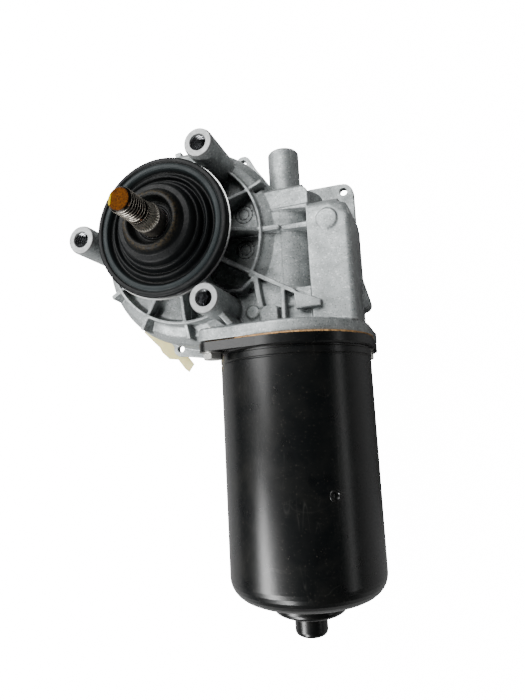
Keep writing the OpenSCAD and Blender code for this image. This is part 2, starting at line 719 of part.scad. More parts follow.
module bearing_inner_race() {
    color(steel_grey) on_motor_axis(bearing_y - bearing_w / 2) difference() {
        tube(6.9, bearing_bore_r, bearing_w);
        translate([0, 0, bearing_w / 2]) rotate_extrude() translate([8, 0]) circle(r = 1.6 + race_gap, $fn = 32);
    }
}

module bearing_balls() {
    count = 9;
    color("#c4c7c9") on_motor_axis(bearing_y) for (i = [0:count - 1])
        rotate(i * 360 / count) translate([8, 0, 0]) sphere(r = 1.6, $fn = 24);
}

module bearing_clip() {
    color(steel_grey) on_motor_axis(bearing_y - bearing_w / 2 - 1) tube(bearing_r, 9.4, 1);
}

module worm_end_bush() {
    color(bronze) on_motor_axis(worm_bore_end_y + 4) tube(tower_bore_r, stub_r + journal_gap, 11);
}

module worm_thrust_pad() {
    color("#d9d2b8") on_motor_axis(tower_end_y - 3) cylinder(r = tower_bore_r - 0.1, h = 1.8);
}

// Socket on the rear cover for the vehicle's plug
module connector_socket() {
    base_z = rear_z - gasket_t - cover_t;
    color(black_plastic) translate([socket_x, socket_y, 0]) difference() {
        union() {
            translate([0, 0, base_z - socket_depth]) round_box([socket_w, socket_len, socket_depth], 2.5);
            translate([0, 0, base_z - 2]) round_box([socket_w + 4, socket_len + 4, 2], 3);
            translate([-socket_w / 2 + 2.1, -socket_len / 2 + 2.1, base_z])
                cube([socket_w - 4.2, socket_len - 4.2, 2.5]);
        }
        translate([-socket_w / 2 + socket_wall, -socket_len / 2 + socket_wall, base_z - socket_depth - 1])
            cube([socket_w - 2 * socket_wall, socket_len - 2 * socket_wall, socket_depth - 1]);
        // slots for the blades
        for (i = [0:pin_count - 1]) translate([-3, pin_y(i) - 0.4, base_z - 4]) cube([6, 0.8, 8]);
    }
}

function pin_y(i) = (i - (pin_count - 1) / 2) * 4.2;

module connector_pins() {
    base_z = rear_z - gasket_t - cover_t;
    color("#c7b26a") for (i = [0:pin_count - 1])
        translate([socket_x - 3, socket_y + pin_y(i) - 0.4, base_z - 9]) cube([6, 0.8, 14]);
}

// Lead frame from the blades to the brush plate
module supply_leads() {
    z0 = rear_z - gasket_t - cover_t + 5;
    color(copper) for (x = [62, 64.5]) {
        translate([x, socket_y - pin_count * 2, z0]) cube([1, pin_count * 4, 1]);
        translate([x, -46.9, -43]) cube([1, 14.3, 1]);
        translate([x, -47.3, -43]) cube([1, 0.3, 6]);
        translate([x, -47.3, -43]) cube([1, 1, 1]);
        translate([x, -33.6, z0]) cube([1, 1, -42 - z0]);
        translate([x, -33.6, z0]) cube([1, 34 + socket_y - pin_count * 2, 1]);
    }
}

// Carrier and springs of the parking switch, between cover and wheel
module contact_carrier() {
    color(black_plastic) translate([20, -6, rear_z - gasket_t]) cube([14, 12, 3.5]);
}

module park_contacts() {
    z = rear_z + 3;
    color("#c7b26a") for (y = [-4, 0, 4]) translate([0, y - 0.9, 0]) rotate([90, 0, 0]) mirror([0, 0, 1])
        linear_extrude(1.8) polygon([[32, z], [32, z + 0.3], [21, z + 0.3], [15.6, z + 3.8], [14.2, z + 3.5],
                                     [14.2, z + 3.2], [15.5, z + 3.45], [20.8, z]]);
}

// Loose strip of film held under the rear cover, its end showing past the case
module rear_tag() {
    color("#dcd4b4") translate([0, 0, rear_z - gasket_t - cover_t - 0.35]) linear_extrude(0.35)
        polygon([[-40.6, -31.7], [-31.9, -40.5], [-30.5, -43.3], [-26.9, -46.8], [-21.6, -47.7],
                 [-18.2, -52.6], [-16.3, -54.3], [-12.8, -50.7], [-16.3, -46.3], [-22.4, -44.7],
                 [-25.1, -40.4], [-31.2, -33], [-24, -27], [-33, -20]]);
}

// Turned steel shaft through the motor, the worm and both end bearings
module armature_shaft() {
    color(steel_grey) on_motor_axis() rotate_extrude() polygon([
        [0, end_boss_y + 2.8], [stub_r - 0.5, end_boss_y + 2.8], [stub_r, end_boss_y + 3.3],
        [stub_r, -147], [shaft_r, -146.4], [shaft_r, -16], [4.5, -15.4], [4.5, worm_len / 2],
        [stub_r, worm_len / 2 + 0.8], [stub_r, 33.6], [stub_r - 0.4, 34], [0, 34]
    ]);
}

// Cross-section of the single-start worm: the radius follows the thread's axial profile
function thread_radius(a) =
    let (flank = (addendum + dedendum) * tan(20), half_crest = 1.0 - addendum * tan(20),
         s = abs(a > 180 ? a - 360 : a) * pitch / 360)
    s < half_crest ? worm_r
    : s > half_crest + flank ? worm_root_r
    : worm_r - (s - half_crest) / tan(20);

module worm() {
    flank = (addendum + dedendum) * tan(20);
    half_crest = 1.0 - addendum * tan(20);
    crest_a = half_crest * 360 / pitch;
    root_a = (half_crest + flank) * 360 / pitch;
    angles = concat([0, crest_a * 0.5, crest_a, (crest_a + root_a) / 2, root_a],
                    [for (i = [1:6]) root_a + (360 - 2 * root_a) * i / 7],
                    [360 - root_a, 360 - (crest_a + root_a) / 2, 360 - crest_a, 360 - crest_a * 0.5]);
    color("#9fa2a4") on_motor_axis(-worm_len / 2) difference() {
        linear_extrude(worm_len, twist = -360 * worm_turns, slices = 14 * worm_turns, $fn = 15)
            polygon([for (a = angles) thread_radius(a) * [cos(a), sin(a)]]);
        translate([0, 0, -1]) cylinder(r = 4.5, h = worm_len + 2);
    }
}

module armature_core() {
    color("#54585b") on_motor_axis(core_y[0]) difference() {
        cylinder(r = core_r, h = core_y[1] - core_y[0], $fn = 96);
        translate([0, 0, -1]) cylinder(r = shaft_r, h = 60);
        for (i = [0:slots - 1]) rotate(i * 360 / slots) {
            translate([17, 0, -1]) cylinder(r = 3, h = 60, $fn = 32);
            translate([17, -1, -1]) cube([10, 2, 60]);
        }
    }
}

module armature_windings() {
    color(copper) on_motor_axis(0) {
        for (i = [0:slots - 1]) rotate(i * 360 / slots)
            translate([17, 0, core_y[0] - 4]) cylinder(r = 2.8, h = core_y[1] - core_y[0] + 8, $fn = 24);
        for (y = [core_y[0] - 9, core_y[1] + 0.2]) translate([0, 0, y]) difference() {
            rotate_extrude() polygon([[7, 1], [9, 0], [19, 0], [21.4, 2], [21.4, 7], [19, 8.8], [9, 8.8], [7, 8]]);
            translate([0, 0, -1]) cylinder(r = 7.2, h = 12);
        }
    }
}

module commutator() {
    len = commutator_y[1] - commutator_y[0];
    color(copper) on_motor_axis(commutator_y[0]) difference() {
        union() {
            cylinder(r = commutator_r, h = len);
            translate([0, 0, -3]) cylinder(r = commutator_r + 1.2, h = 3);
        }
        translate([0, 0, -4]) cylinder(r = shaft_r, h = len + 6);
        for (i = [0:slots - 1]) rotate((i + 0.5) * 360 / slots)
            translate([commutator_r - 1, -0.25, -4]) cube([4, 0.5, len + 5]);
    }
}

module thrust_ball() {
    color("#c4c7c9") on_motor_axis(36.45) sphere(r = 2.45);
}

// Output spindle: M10 thread, knurled cone, journal and seat for the hub
module output_shaft() {
    thread_z = shaft_tip_z - thread_len;
    cone_z = thread_z - cone_len;
    color(steel_grey) difference() {
        rotate_extrude() polygon([
            [0, rear_z + 4], [4.4, rear_z + 4], [5, rear_z + 4.6], [5, -35.2], [journal_r, -34.6],
            [journal_r, -0.8], [journal_r + 0.1, cone_z - 2], [journal_r + 0.1, cone_z],
            [thread_r + 0.1, thread_z], [thread_r - 0.5, thread_z + 0.3], [thread_r - 0.5, thread_z + 1],
            [thread_r, thread_z + 1.5], [thread_r, shaft_tip_z - 1], [thread_r - 1, shaft_tip_z],
            [0, shaft_tip_z]
        ]);
        translate([0, 0, 0.6]) tube(8, 5.5, 0.9);
    }
}

module wheel_tooth() {
    root_half = 1.0 + dedendum * tan(20);
    tip_half = 1.0 - addendum * tan(20);
    translate([wheel_pitch_r, 0, motor_z]) rotate([-lead_angle, 0, 0]) translate([0, 0, -wheel_w / 2])
        linear_extrude(wheel_w)
            polygon([[-dedendum - 0.6, -root_half - 0.1], [-dedendum, -root_half], [addendum, -tip_half],
                     [addendum, tip_half], [-dedendum, root_half], [-dedendum - 0.6, root_half + 0.1]]);
}

// Moulded worm wheel: toothed rim, thin web with ribs, and a boss round the hub
module worm_wheel() {
    rim_r = wheel_pitch_r - dedendum;
    color("#d8d3c0") difference() {
        union() {
            translate([0, 0, wheel_z]) tube(rim_r, rim_r - 4.5, wheel_w);
            translate([0, 0, wheel_z + 3]) tube(rim_r - 1, hub_r, 4);
            translate([0, 0, wheel_z]) tube(13, hub_r, wheel_w);
            for (a = [0:rib_step:330]) rotate(a) translate([12, -0.8, wheel_z + 1]) cube([19.5, 1.6, 8]);
            for (i = [0:teeth - 1]) rotate(i * 360 / teeth) wheel_tooth();
        }
        // seat for the contact disc
        translate([0, 0, wheel_z - 1]) tube(20.4, 12.2, 1.5);
    }
}

module drive_hub() {
    color("#6f7376") difference() {
        union() {
            translate([0, 0, wheel_z]) cylinder(r = hub_r, h = wheel_w);
            translate([0, 0, wheel_z + wheel_w]) cylinder(r = 11, h = floor_z - 0.7 - wheel_z - wheel_w);
        }
        translate([0, 0, wheel_z - 1]) cylinder(r = 5, h = wheel_w + 4);
        translate([0, 0, -35.3]) cylinder(r = journal_r, h = 8);
    }
}

// Slotted disc that the parking switch reads
module contact_disc() {
    color("#c7b26a") translate([0, 0, wheel_z]) difference() {
        tube(20.3, 12.3, 0.5);
        rotate(20) translate([15.5, -3, -1]) cube([3, 6, 3]);
    }
}

module shaft_circlip() {
    color(steel_grey) translate([0, 0, 0.7]) difference() {
        tube(7.6, 5.5, 0.7);
        rotate(40) translate([4, -1.6, -1]) cube([6, 3.2, 3]);
    }
}

module shaft_washers() {
    color(steel_grey) {
        translate([0, 0, 0.05]) tube(8.4, journal_r + 0.03, 0.6);
        translate([0, 0, floor_z - 0.65]) tube(10.5, journal_r + 0.03, 0.55);
    }
}

gear_housing();
rear_cover();
cover_gasket();
cover_screws();
motor_can();
can_gasket();
can_bolts();
bolt_washers();
rubber_seal();
seal_plate();
upper_bush();
lower_bush();
shaft_o_ring();
field_magnets();
magnet_clips();
brush_plate();
brush_plate_screws();
brush_holders();
carbon_brushes();
brush_springs();
suppression_chokes();
can_end_bush();
bush_retainer();
end_thrust_pad();
bearing_outer_race();
bearing_balls();
bearing_clip();
worm_end_bush();
worm_thrust_pad();
connector_socket();
connector_pins();
supply_leads();
contact_carrier();
park_contacts();
rear_tag();
armature_shaft();
worm();
armature_core();
armature_windings();
commutator();
bearing_inner_race();
thrust_ball();
output_shaft();
worm_wheel();
drive_hub();
contact_disc();
shaft_circlip();
shaft_washers();
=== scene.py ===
import math

import bmesh
import bpy
from mathutils import Matrix, Vector, noise


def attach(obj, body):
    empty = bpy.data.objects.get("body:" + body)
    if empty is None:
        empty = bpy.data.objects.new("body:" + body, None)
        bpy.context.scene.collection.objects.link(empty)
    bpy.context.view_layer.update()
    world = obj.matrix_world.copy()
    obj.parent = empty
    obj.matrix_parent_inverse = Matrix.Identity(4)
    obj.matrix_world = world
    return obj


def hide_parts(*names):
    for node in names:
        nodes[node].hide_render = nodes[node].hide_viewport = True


mm = 0.001
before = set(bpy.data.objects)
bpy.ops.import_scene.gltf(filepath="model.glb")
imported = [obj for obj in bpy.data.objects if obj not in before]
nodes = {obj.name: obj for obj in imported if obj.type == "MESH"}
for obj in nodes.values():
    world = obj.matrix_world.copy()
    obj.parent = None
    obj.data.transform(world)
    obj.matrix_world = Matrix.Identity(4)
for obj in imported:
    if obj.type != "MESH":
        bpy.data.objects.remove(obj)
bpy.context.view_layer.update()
canAxis = (43.26, -42)  # x and z of the motor's shaft
canRadius = 32.8
print("model loaded,", len(nodes), "nodes")


def addObject(name, data):
    thing = bpy.data.objects.new(name, data)
    bpy.context.scene.collection.objects.link(thing)
    return thing


# Camera at the photograph's viewing angle
cameraView = {
    "at": (0.099231, -0.08046, 0.183119),
    "turn": (0.13943, 0.302808, -0.094795),
    "lens": 27.05,
    "sensor": 36,
    "near": 0.01,
    "far": 20,
}


def addCamera(values):
    data = bpy.data.cameras.new("photoCamera")
    data.lens = values["lens"]
    data.sensor_width = values["sensor"]
    data.clip_start = values["near"]
    data.clip_end = values["far"]
    camera = addObject("photoCamera", data)
    camera.rotation_mode = "ZYX"
    camera.location = values["at"]
    camera.rotation_euler = values["turn"]
    bpy.context.scene.camera = camera


addCamera(cameraView)
print("camera set")


# Lamps: a soft panel above the upper left, a weaker one beyond the tower,
# a strip for the can's long highlight and a weak strip from the right
lampSettings = {
    "topPanel": {"at": (-0.36, 0.3, 0.48), "aim": (0.03, 0.0, -0.03), "size": (0.66, 0.52), "watts": 12.0},
    "overhead": {"at": (0.02, 0.34, 0.5), "aim": (0.03, 0.0, -0.03), "size": (0.3, 0.3), "watts": 2.6},
    "canStrip": {"at": (-0.3, -0.47, 0.42), "aim": (0.043, -0.16, -0.01), "size": (0.6, 0.13), "watts": 12.5},
    "rightStrip": {"at": (0.6, -0.12, 0.08), "aim": (0.05, -0.08, -0.04), "size": (0.5, 0.06), "watts": 0.4},
}


def addLamp(name, values):
    data = bpy.data.lights.new(name, "AREA")
    data.shape = "RECTANGLE"
    data.size, data.size_y = values["size"]
    data.energy = values["watts"]
    lamp = addObject(name, data)
    lamp.location = values["at"]
    toward = Vector(values["aim"]) - Vector(values["at"])
    lamp.rotation_mode = "QUATERNION"
    lamp.rotation_quaternion = toward.to_track_quat("-Z", "Y")


for lampName, lampValues in lampSettings.items():
    addLamp(lampName, lampValues)
print("lamps set")


# Shader tools
def feed(tree, socket, value):
    if isinstance(value, bpy.types.NodeSocket):
        tree.links.new(value, socket)
    else:
        socket.default_value = value


def addNode(tree, kind, inputs=None, **settings):
    node = tree.nodes.new(kind)
    for key, value in settings.items():
        setattr(node, key, value)
    for key, value in (inputs or {}).items():
        feed(tree, node.inputs[key], value)
    return node


def addRamp(tree, value, *stops):
    ramp = addNode(tree, "ShaderNodeValToRGB", {"Fac": value})
    elements = ramp.color_ramp.elements
    while len(elements) < len(stops):
        elements.new(0.5)
    for element, (position, level) in zip(elements, stops):
        element.position = position
        element.color = (level, level, level, 1)
    return ramp.outputs["Color"]


def mixColors(tree, share, first, second):
    # the color sockets of a Mix node are 6 and 7, and its color result is 2
    return addNode(tree, "ShaderNodeMix", {0: share, 6: first, 7: second}, data_type="RGBA").outputs[2]


def calc(tree, operation, *values, clamp=False):
    inputs = dict(enumerate(values))
    return addNode(tree, "ShaderNodeMath", inputs, operation=operation, use_clamp=clamp).outputs[0]


def product(tree, *values):
    total = values[0]
    for value in values[1:]:
        total = calc(tree, "MULTIPLY", total, value)
    return total


def spanned(tree, value, start, end, **settings):
    inputs = {"Value": value, "From Min": start, "From Max": end}
    return addNode(tree, "ShaderNodeMapRange", inputs, **settings).outputs["Result"]


def objectPlace(tree, stretch=None):
    coordinate = addNode(tree, "ShaderNodeTexCoord").outputs["Object"]
    if stretch is None:
        return coordinate
    return addNode(tree, "ShaderNodeMapping", {"Vector": coordinate, "Scale": stretch}).outputs["Vector"]


def splitPlace(tree):
    # x, y and z on the part, and the distance from the spindle's axis
    split = addNode(tree, "ShaderNodeSeparateXYZ", {"Vector": objectPlace(tree)}).outputs
    flat = addNode(tree, "ShaderNodeCombineXYZ", {"X": split["X"], "Y": split["Y"]}).outputs["Vector"]
    away = addNode(tree, "ShaderNodeVectorMath", {0: flat}, operation="LENGTH").outputs["Value"]
    return split, away


def noiseAt(tree, place, scale, detail=3.0, rough=0.55, distortion=0.0):
    inputs = {"Vector": place, "Scale": scale, "Detail": detail, "Roughness": rough, "Distortion": distortion}
    return addNode(tree, "ShaderNodeTexNoise", inputs).outputs["Fac"]


def newGroup(name, inputs, outputs):
    group = bpy.data.node_groups.new(name, "ShaderNodeTree")
    kinds = {"color": "NodeSocketColor", "value": "NodeSocketFloat"}
    for label, value in inputs.items():
        kind = "value" if isinstance(value, (int, float)) else "color"
        socket = group.interface.new_socket(label, in_out="INPUT", socket_type=kinds[kind])
        socket.default_value = value
    for label, kind in outputs.items():
        group.interface.new_socket(label, in_out="OUTPUT", socket_type=kinds[kind])
    source = group.nodes.new("NodeGroupInput")
    sink = group.nodes.new("NodeGroupOutput")
    return group, source.outputs, sink.inputs


surfaceOutputs = {"Color": "color", "Roughness": "value", "Height": "value"}


# Die-cast skin: cloudy tone, light flecks and a fine grain
def makeCastSkin():
    starts = {
        "Color": (0.4, 0.4, 0.4, 1),
        "Dark": (0.2, 0.2, 0.2, 1),
        "Light": (0.82, 0.83, 0.84, 1),
        "Clouds": 0.5,
        "Flecks": 0.4,
        "Pits": 0.7,
    }
    group, given, out = newGroup("Cast Skin", starts, surfaceOutputs)
    place = objectPlace(group)
    clouds = addRamp(group, noiseAt(group, place, 170.0, 5.0, 0.62), (0.36, 0), (0.68, 1))
    grain = noiseAt(group, place, 1500.0, 2.0, 0.5)
    flecks = addRamp(group, noiseAt(group, place, 1150.0, 1.0, 0.5), (0.6, 0), (0.74, 1))
    toned = mixColors(group, product(group, clouds, given["Clouds"]), given["Color"], given["Dark"])
    lifted = mixColors(group, product(group, flecks, given["Flecks"]), toned, given["Light"])
    pits = product(group, addRamp(group, grain, (0.34, 1), (0.44, 0)), given["Pits"])
    feed(group, out["Color"], mixColors(group, pits, lifted, given["Dark"]))
    feed(group, out["Roughness"], calc(group, "MULTIPLY_ADD", clouds, 0.16, 0.42))
    feed(group, out["Height"], calc(group, "ADD", grain, product(group, clouds, 0.8)))
    return group


# Masks from the form itself: lighter sharp edges, and the hollows that take painted shade
def makeReliefMasks():
    starts = {"Edge Start": 0.52, "Edge End": 0.6, "Hollow Start": 0.49, "Hollow End": 0.4}
    group, given, out = newGroup("Relief Masks", starts, {"Edge": "value", "Hollow": "value"})
    form = addNode(group, "ShaderNodeNewGeometry").outputs["Pointiness"]
    edge = spanned(group, form, given["Edge Start"], given["Edge End"])
    breakup = addRamp(group, noiseAt(group, objectPlace(group), 520.0, 3.0), (0.3, 0.25), (0.6, 1))
    feed(group, out["Edge"], product(group, edge, breakup))
    feed(group, out["Hollow"], spanned(group, form, given["Hollow Start"], given["Hollow End"]))
    return group


# Dust that lies in patches and specks
def makeDustFilm():
    starts = {
        "Color": (0.02, 0.02, 0.02, 1),
        "Dust": (0.3, 0.27, 0.22, 1),
        "Film": 0.3,
        "Specks": 0.5,
        "Scale": 1.0,
    }
    group, given, out = newGroup("Dust Film", starts, {"Color": "color", "Mask": "value"})
    place = objectPlace(group)
    patches = noiseAt(group, place, product(group, given["Scale"], 85.0), 6.0, 0.65, 0.6)
    patches = addRamp(group, patches, (0.42, 0), (0.72, 1))
    specks = noiseAt(group, place, product(group, given["Scale"], 1900.0), 1.0, 0.4)
    specks = addRamp(group, specks, (0.71, 0), (0.76, 1))
    film = product(group, patches, given["Film"])
    spots = product(group, specks, given["Specks"])
    mask = calc(group, "MAXIMUM", film, spots, clamp=True)
    feed(group, out["Color"], mixColors(group, mask, given["Color"], given["Dust"]))
    feed(group, out["Mask"], mask)
    return group


# Thin scratches in two directions
def makeScratches():
    group, given, out = newGroup("Scratches", {"Amount": 0.5, "Scale": 1.0}, {"Mask": "value"})
    lines = []
    for stretch, scale, width in (((1.0, 0.1, 1.0), 260.0, 0.006), ((0.25, 1.0, 0.5), 210.0, 0.004)):
        size = product(group, given["Scale"], scale)
        wave = noiseAt(group, objectPlace(group, stretch), size, 2.0, 0.4, 0.4)
        away = calc(group, "ABSOLUTE", calc(group, "SUBTRACT", wave, 0.5))
        lines.append(addRamp(group, away, (0.0, 1), (width, 0)))
    patchy = addRamp(group, noiseAt(group, objectPlace(group), 60.0, 2.0), (0.52, 0), (0.66, 1))
    feed(group, out["Mask"], product(group, calc(group, "MAXIMUM", *lines), patchy, given["Amount"]))
    return group


# Rust in blooms, darker at its heart
def makeRustBloom():
    starts = {
        "Metal": (0.4, 0.39, 0.38, 1),
        "Rust": (0.36, 0.13, 0.03, 1),
        "Deep Rust": (0.12, 0.035, 0.012, 1),
        "Amount": 0.5,
        "Scale": 1.0,
    }
    outputs = {"Color": "color", "Roughness": "value", "Metallic": "value", "Height": "value"}
    group, given, out = newGroup("Rust Bloom", starts, outputs)
    place = objectPlace(group)
    bloom = noiseAt(group, place, product(group, given["Scale"], 420.0), 6.0, 0.68, 0.4)
    start = calc(group, "SUBTRACT", 0.86, product(group, given["Amount"], 0.72))
    mask = spanned(group, bloom, start, calc(group, "ADD", start, 0.12))
    heart = addRamp(group, noiseAt(group, place, 1500.0, 4.0, 0.7), (0.36, 0), (0.66, 1))
    rust = mixColors(group, heart, given["Deep Rust"], given["Rust"])
    feed(group, out["Color"], mixColors(group, mask, given["Metal"], rust))
    feed(group, out["Roughness"], calc(group, "MULTIPLY_ADD", mask, 0.5, 0.3))
    feed(group, out["Metallic"], calc(group, "SUBTRACT", 1.0, mask, clamp=True))
    feed(group, out["Height"], product(group, mask, heart))
    return group


# Fine tone change and grain for moulded and machined parts
def makeFineGrain():
    starts = {
        "Color": (0.5, 0.5, 0.5, 1),
        "Other": (0.3, 0.3, 0.3, 1),
        "Scale": 1.0,
        "Share": 0.4,
        "Variation": 0.14,
        "Base Roughness": 0.4,
    }
    group, given, out = newGroup("Fine Grain", starts, surfaceOutputs)
    place = objectPlace(group)
    broad = noiseAt(group, place, product(group, given["Scale"], 240.0), 5.0)
    broad = addRamp(group, broad, (0.34, 0), (0.68, 1))
    fine = noiseAt(group, place, product(group, given["Scale"], 2400.0), 2.0)
    share = product(group, broad, given["Share"])
    feed(group, out["Color"], mixColors(group, share, given["Color"], given["Other"]))
    shift = product(group, calc(group, "SUBTRACT", broad, 0.5), given["Variation"])
    feed(group, out["Roughness"], calc(group, "ADD", given["Base Roughness"], shift, clamp=True))
    feed(group, out["Height"], fine)
    return group


# Rings left by turning, drawing or winding, along Z or Y
def makeTurnedRings():
    starts = {"Color": (0.6, 0.6, 0.6, 1), "Other": (0.4, 0.4, 0.4, 1), "Scale": 1.0, "Along Y": 0.0}
    group, given, out = newGroup("Turned Rings", starts, {"Color": "color", "Height": "value"})
    split = addNode(group, "ShaderNodeSeparateXYZ", {"Vector": objectPlace(group)}).outputs
    alongY = product(group, split["Y"], given["Along Y"])
    alongZ = product(group, split["Z"], calc(group, "SUBTRACT", 1.0, given["Along Y"]))
    line = addNode(group, "ShaderNodeCombineXYZ", {"X": calc(group, "ADD", alongY, alongZ)}).outputs["Vector"]
    rings = noiseAt(group, line, product(group, given["Scale"], 3200.0), 3.0, 0.6)
    tone = addRamp(group, rings, (0.35, 0), (0.65, 1))
    feed(group, out["Color"], mixColors(group, tone, given["Color"], given["Other"]))
    feed(group, out["Height"], rings)
    return group


# Where the casting gets painted shade, each span from unshaded to shaded:
# pockets inside the stiffening ring, and the valley beside the switch housing
hollowShadeSpans = {
    "pocketDepth": (-22.2, -25.8),
    "pocketRing": (36.6, 35.4),
    "pocketFloor": (-27.5, -26.8),
    "valleyDepth": (-25.6, -32.5),
    "valleyLeft": (41.5, 52.5),
    "valleyRight": (56.6, 56.2),
    "valleyTop": (8.6, 7.0),
    "valleyFoot": (-34.0, -31.0),
}


def makeHollowShade(spans):
    group, given, out = newGroup("Hollow Shade", {"Pockets": 0.3, "Valley": 0.62}, {"Mask": "value"})
    split, away = splitPlace(group)

    def within(value, key):
        start, end = spans[key]
        return spanned(group, value, start * mm, end * mm, interpolation_type="SMOOTHSTEP")

    # painted shade: the pockets are darkened as the shade of the seal and the ring, the valley beside the
    # switch housing as deep shadow
    pocket = product(
        group,
        within(split["Z"], "pocketDepth"),
        within(away, "pocketRing"),
        within(split["Z"], "pocketFloor"),
        given["Pockets"],
    )
    valley = product(
        group,
        within(split["Z"], "valleyDepth"),
        within(split["X"], "valleyLeft"),
        within(split["X"], "valleyRight"),
        within(split["Y"], "valleyTop"),
        within(split["Y"], "valleyFoot"),
        given["Valley"],
    )
    breakup = addRamp(group, noiseAt(group, objectPlace(group), 300.0, 4.0, 0.6), (0.25, 0.7), (0.7, 1))
    feed(group, out["Mask"], product(group, calc(group, "MAXIMUM", pocket, valley), breakup))
    return group


groups = {
    "castSkin": makeCastSkin(),
    "relief": makeReliefMasks(),
    "dust": makeDustFilm(),
    "scratches": makeScratches(),
    "rust": makeRustBloom(),
    "grain": makeFineGrain(),
    "rings": makeTurnedRings(),
    "soiled": makeHollowShade(hollowShadeSpans),
}
print("shader groups made:", len(groups))


# Tools for materials
def placeGroup(tree, key, inputs):
    return addNode(tree, "ShaderNodeGroup", inputs, node_tree=groups[key]).outputs


def placeGrain(tree, values, **more):
    inputs = {"Color": values["color"], "Other": values["other"], "Base Roughness": values["roughness"]}
    return placeGroup(tree, "grain", {**inputs, **more})


def newMaterial(name, sockets):
    material = bpy.data.materials.new(name)
    material.use_nodes = True
    tree = material.node_tree
    shader = tree.nodes["Principled BSDF"]
    for label, value in sockets.items():
        shader.inputs[label].default_value = value
    return material, tree, shader


def dress(tree, shader, sources, height, strength, distance):
    # feeds the shader from its sources, and its normal from a bump over the height
    for label, source in sources.items():
        tree.links.new(source, shader.inputs[label])
    inputs = {"Height": height, "Strength": strength, "Distance": distance * mm}
    bump = addNode(tree, "ShaderNodeBump", inputs)
    tree.links.new(bump.outputs["Normal"], shader.inputs["Normal"])


# Die-cast aluminium: matt grey, mottled, lighter at sharp edges, with painted shade in its roots, pockets and
# valley
castFinish = {
    "color": (0.27, 0.288, 0.288, 1),
    "dark": (0.105, 0.116, 0.116, 1),
    "edge": (0.62, 0.63, 0.62, 1),
    # the dark tone of the painted shade in the hollows, the pockets and the valley
    "paintedShade": (0.02, 0.022, 0.022, 1),
    "clouds": 0.55,
    "flecks": 0.3,
    "edgeShare": 0.6,
    "rootShade": 0.85,
    "metallic": 0.55,
}


def castMaterial(name, values):
    material, tree, shader = newMaterial(name, {"Metallic": values["metallic"]})
    inputs = {"Color": "color", "Dark": "dark", "Clouds": "clouds", "Flecks": "flecks"}
    skin = placeGroup(tree, "castSkin", {label: values[key] for label, key in inputs.items()})
    relief = placeGroup(tree, "relief", {})
    soiled = placeGroup(tree, "soiled", {})
    # lighter at sharp edges; painted shade darkens the hollows, then the pockets and the valley
    edged = mixColors(tree, product(tree, relief["Edge"], values["edgeShare"]), skin["Color"], values["edge"])
    rootShaded = mixColors(tree, product(tree, relief["Hollow"], values["rootShade"]), edged, values["paintedShade"])
    color = mixColors(tree, soiled["Mask"], rootShaded, values["paintedShade"])
    dress(tree, shader, {"Base Color": color, "Roughness": skin["Roughness"]}, skin["Height"], 0.35, 0.12)
    return material


def rustMaterial(name, values):
    material, tree, shader = newMaterial(name, {})
    inputs = {"Metal": "metal", "Rust": "rust", "Deep Rust": "deep", "Amount": "amount", "Scale": "scale"}
    rust = placeGroup(tree, "rust", {label: values[key] for label, key in inputs.items()})
    sources = {"Base Color": rust["Color"], "Roughness": rust["Roughness"], "Metallic": rust["Metallic"]}
    dress(tree, shader, sources, rust["Height"], 0.5, 0.12)
    return material


def grainMaterial(name, values):
    sockets = {"Metallic": values.get("metallic", 0.0), "Specular IOR Level": values.get("specular", 0.5)}
    if "coat" in values:
        sockets.update({"Coat Weight": values["coat"], "Coat Roughness": 0.25})
    if "subsurface" in values:
        sockets.update({"Subsurface Weight": values["subsurface"], "Subsurface Scale": 0.001})
    material, tree, shader = newMaterial(name, sockets)
    grain = placeGrain(tree, values, Scale=values.get("scale", 1.0), Share=values.get("share", 0.5))
    sources = {"Base Color": grain["Color"], "Roughness": grain["Roughness"]}
    dress(tree, shader, sources, grain["Height"], values.get("bump", 0.25), 0.1)
    return material


def turnedMaterial(name, values):
    material, tree, shader = newMaterial(name, {"Metallic": 1.0})
    inputs = {"Color": values["color"], "Other": values["other"]}
    inputs.update({"Along Y": values.get("alongY", 0.0), "Scale": values.get("scale", 1.0)})
    rings = placeGroup(tree, "rings", inputs)
    grain = placeGrain(tree, values, Color=rings["Color"], Share=0.3)
    sources = {"Base Color": grain["Color"], "Roughness": grain["Roughness"]}
    dress(tree, shader, sources, rings["Height"], 0.2, 0.06)
    return material


# Black stoved paint on the can, with dust, specks and scuffs
paintFinish = {
    "color": (0.0012, 0.0015, 0.0017, 1),
    "other": (0.0022, 0.0024, 0.0024, 1),
    "dust": (0.05, 0.045, 0.036, 1),
    "bare": (0.09, 0.088, 0.082, 1),
    "roughness": 0.28,
    "dustRoughness": 0.4,
}


def paintMaterial(name, values):
    material, tree, shader = newMaterial(name, {"Specular IOR Level": 0.3})
    grain = placeGrain(tree, values, Scale=0.6, Variation=0.02)
    dustInputs = {"Color": grain["Color"], "Dust": values["dust"], "Film": 0.05, "Specks": 0.4}
    dust = placeGroup(tree, "dust", dustInputs)
    scratch = placeGroup(tree, "scratches", {"Amount": 0.12, "Scale": 0.6})
    color = mixColors(tree, scratch["Mask"], dust["Color"], values["bare"])
    dusty = product(tree, dust["Mask"], values["dustRoughness"])
    rough = calc(tree, "ADD", grain["Roughness"], dusty, clamp=True)
    dress(tree, shader, {"Base Color": color, "Roughness": rough}, grain["Height"], 0.16, 0.1)
    return material


# Black rubber: a lighter outer band of painted sheen, a dusty ring by the spindle and specks of dirt
rubberFinish = {
    "color": (0.0012, 0.0016, 0.0019, 1),
    "other": (0.0026, 0.0032, 0.0036, 1),
    "sheenBand": (0.009, 0.0125, 0.0135, 1),
    "dust": (0.05, 0.034, 0.012, 1),
    "dirt": (0.03, 0.03, 0.026, 1),
    "roughness": 0.46,
    "dustShare": 0.5,
    "dustRoughness": 0.3,
    "span": 30,  # the ramps' right end as a radius
}


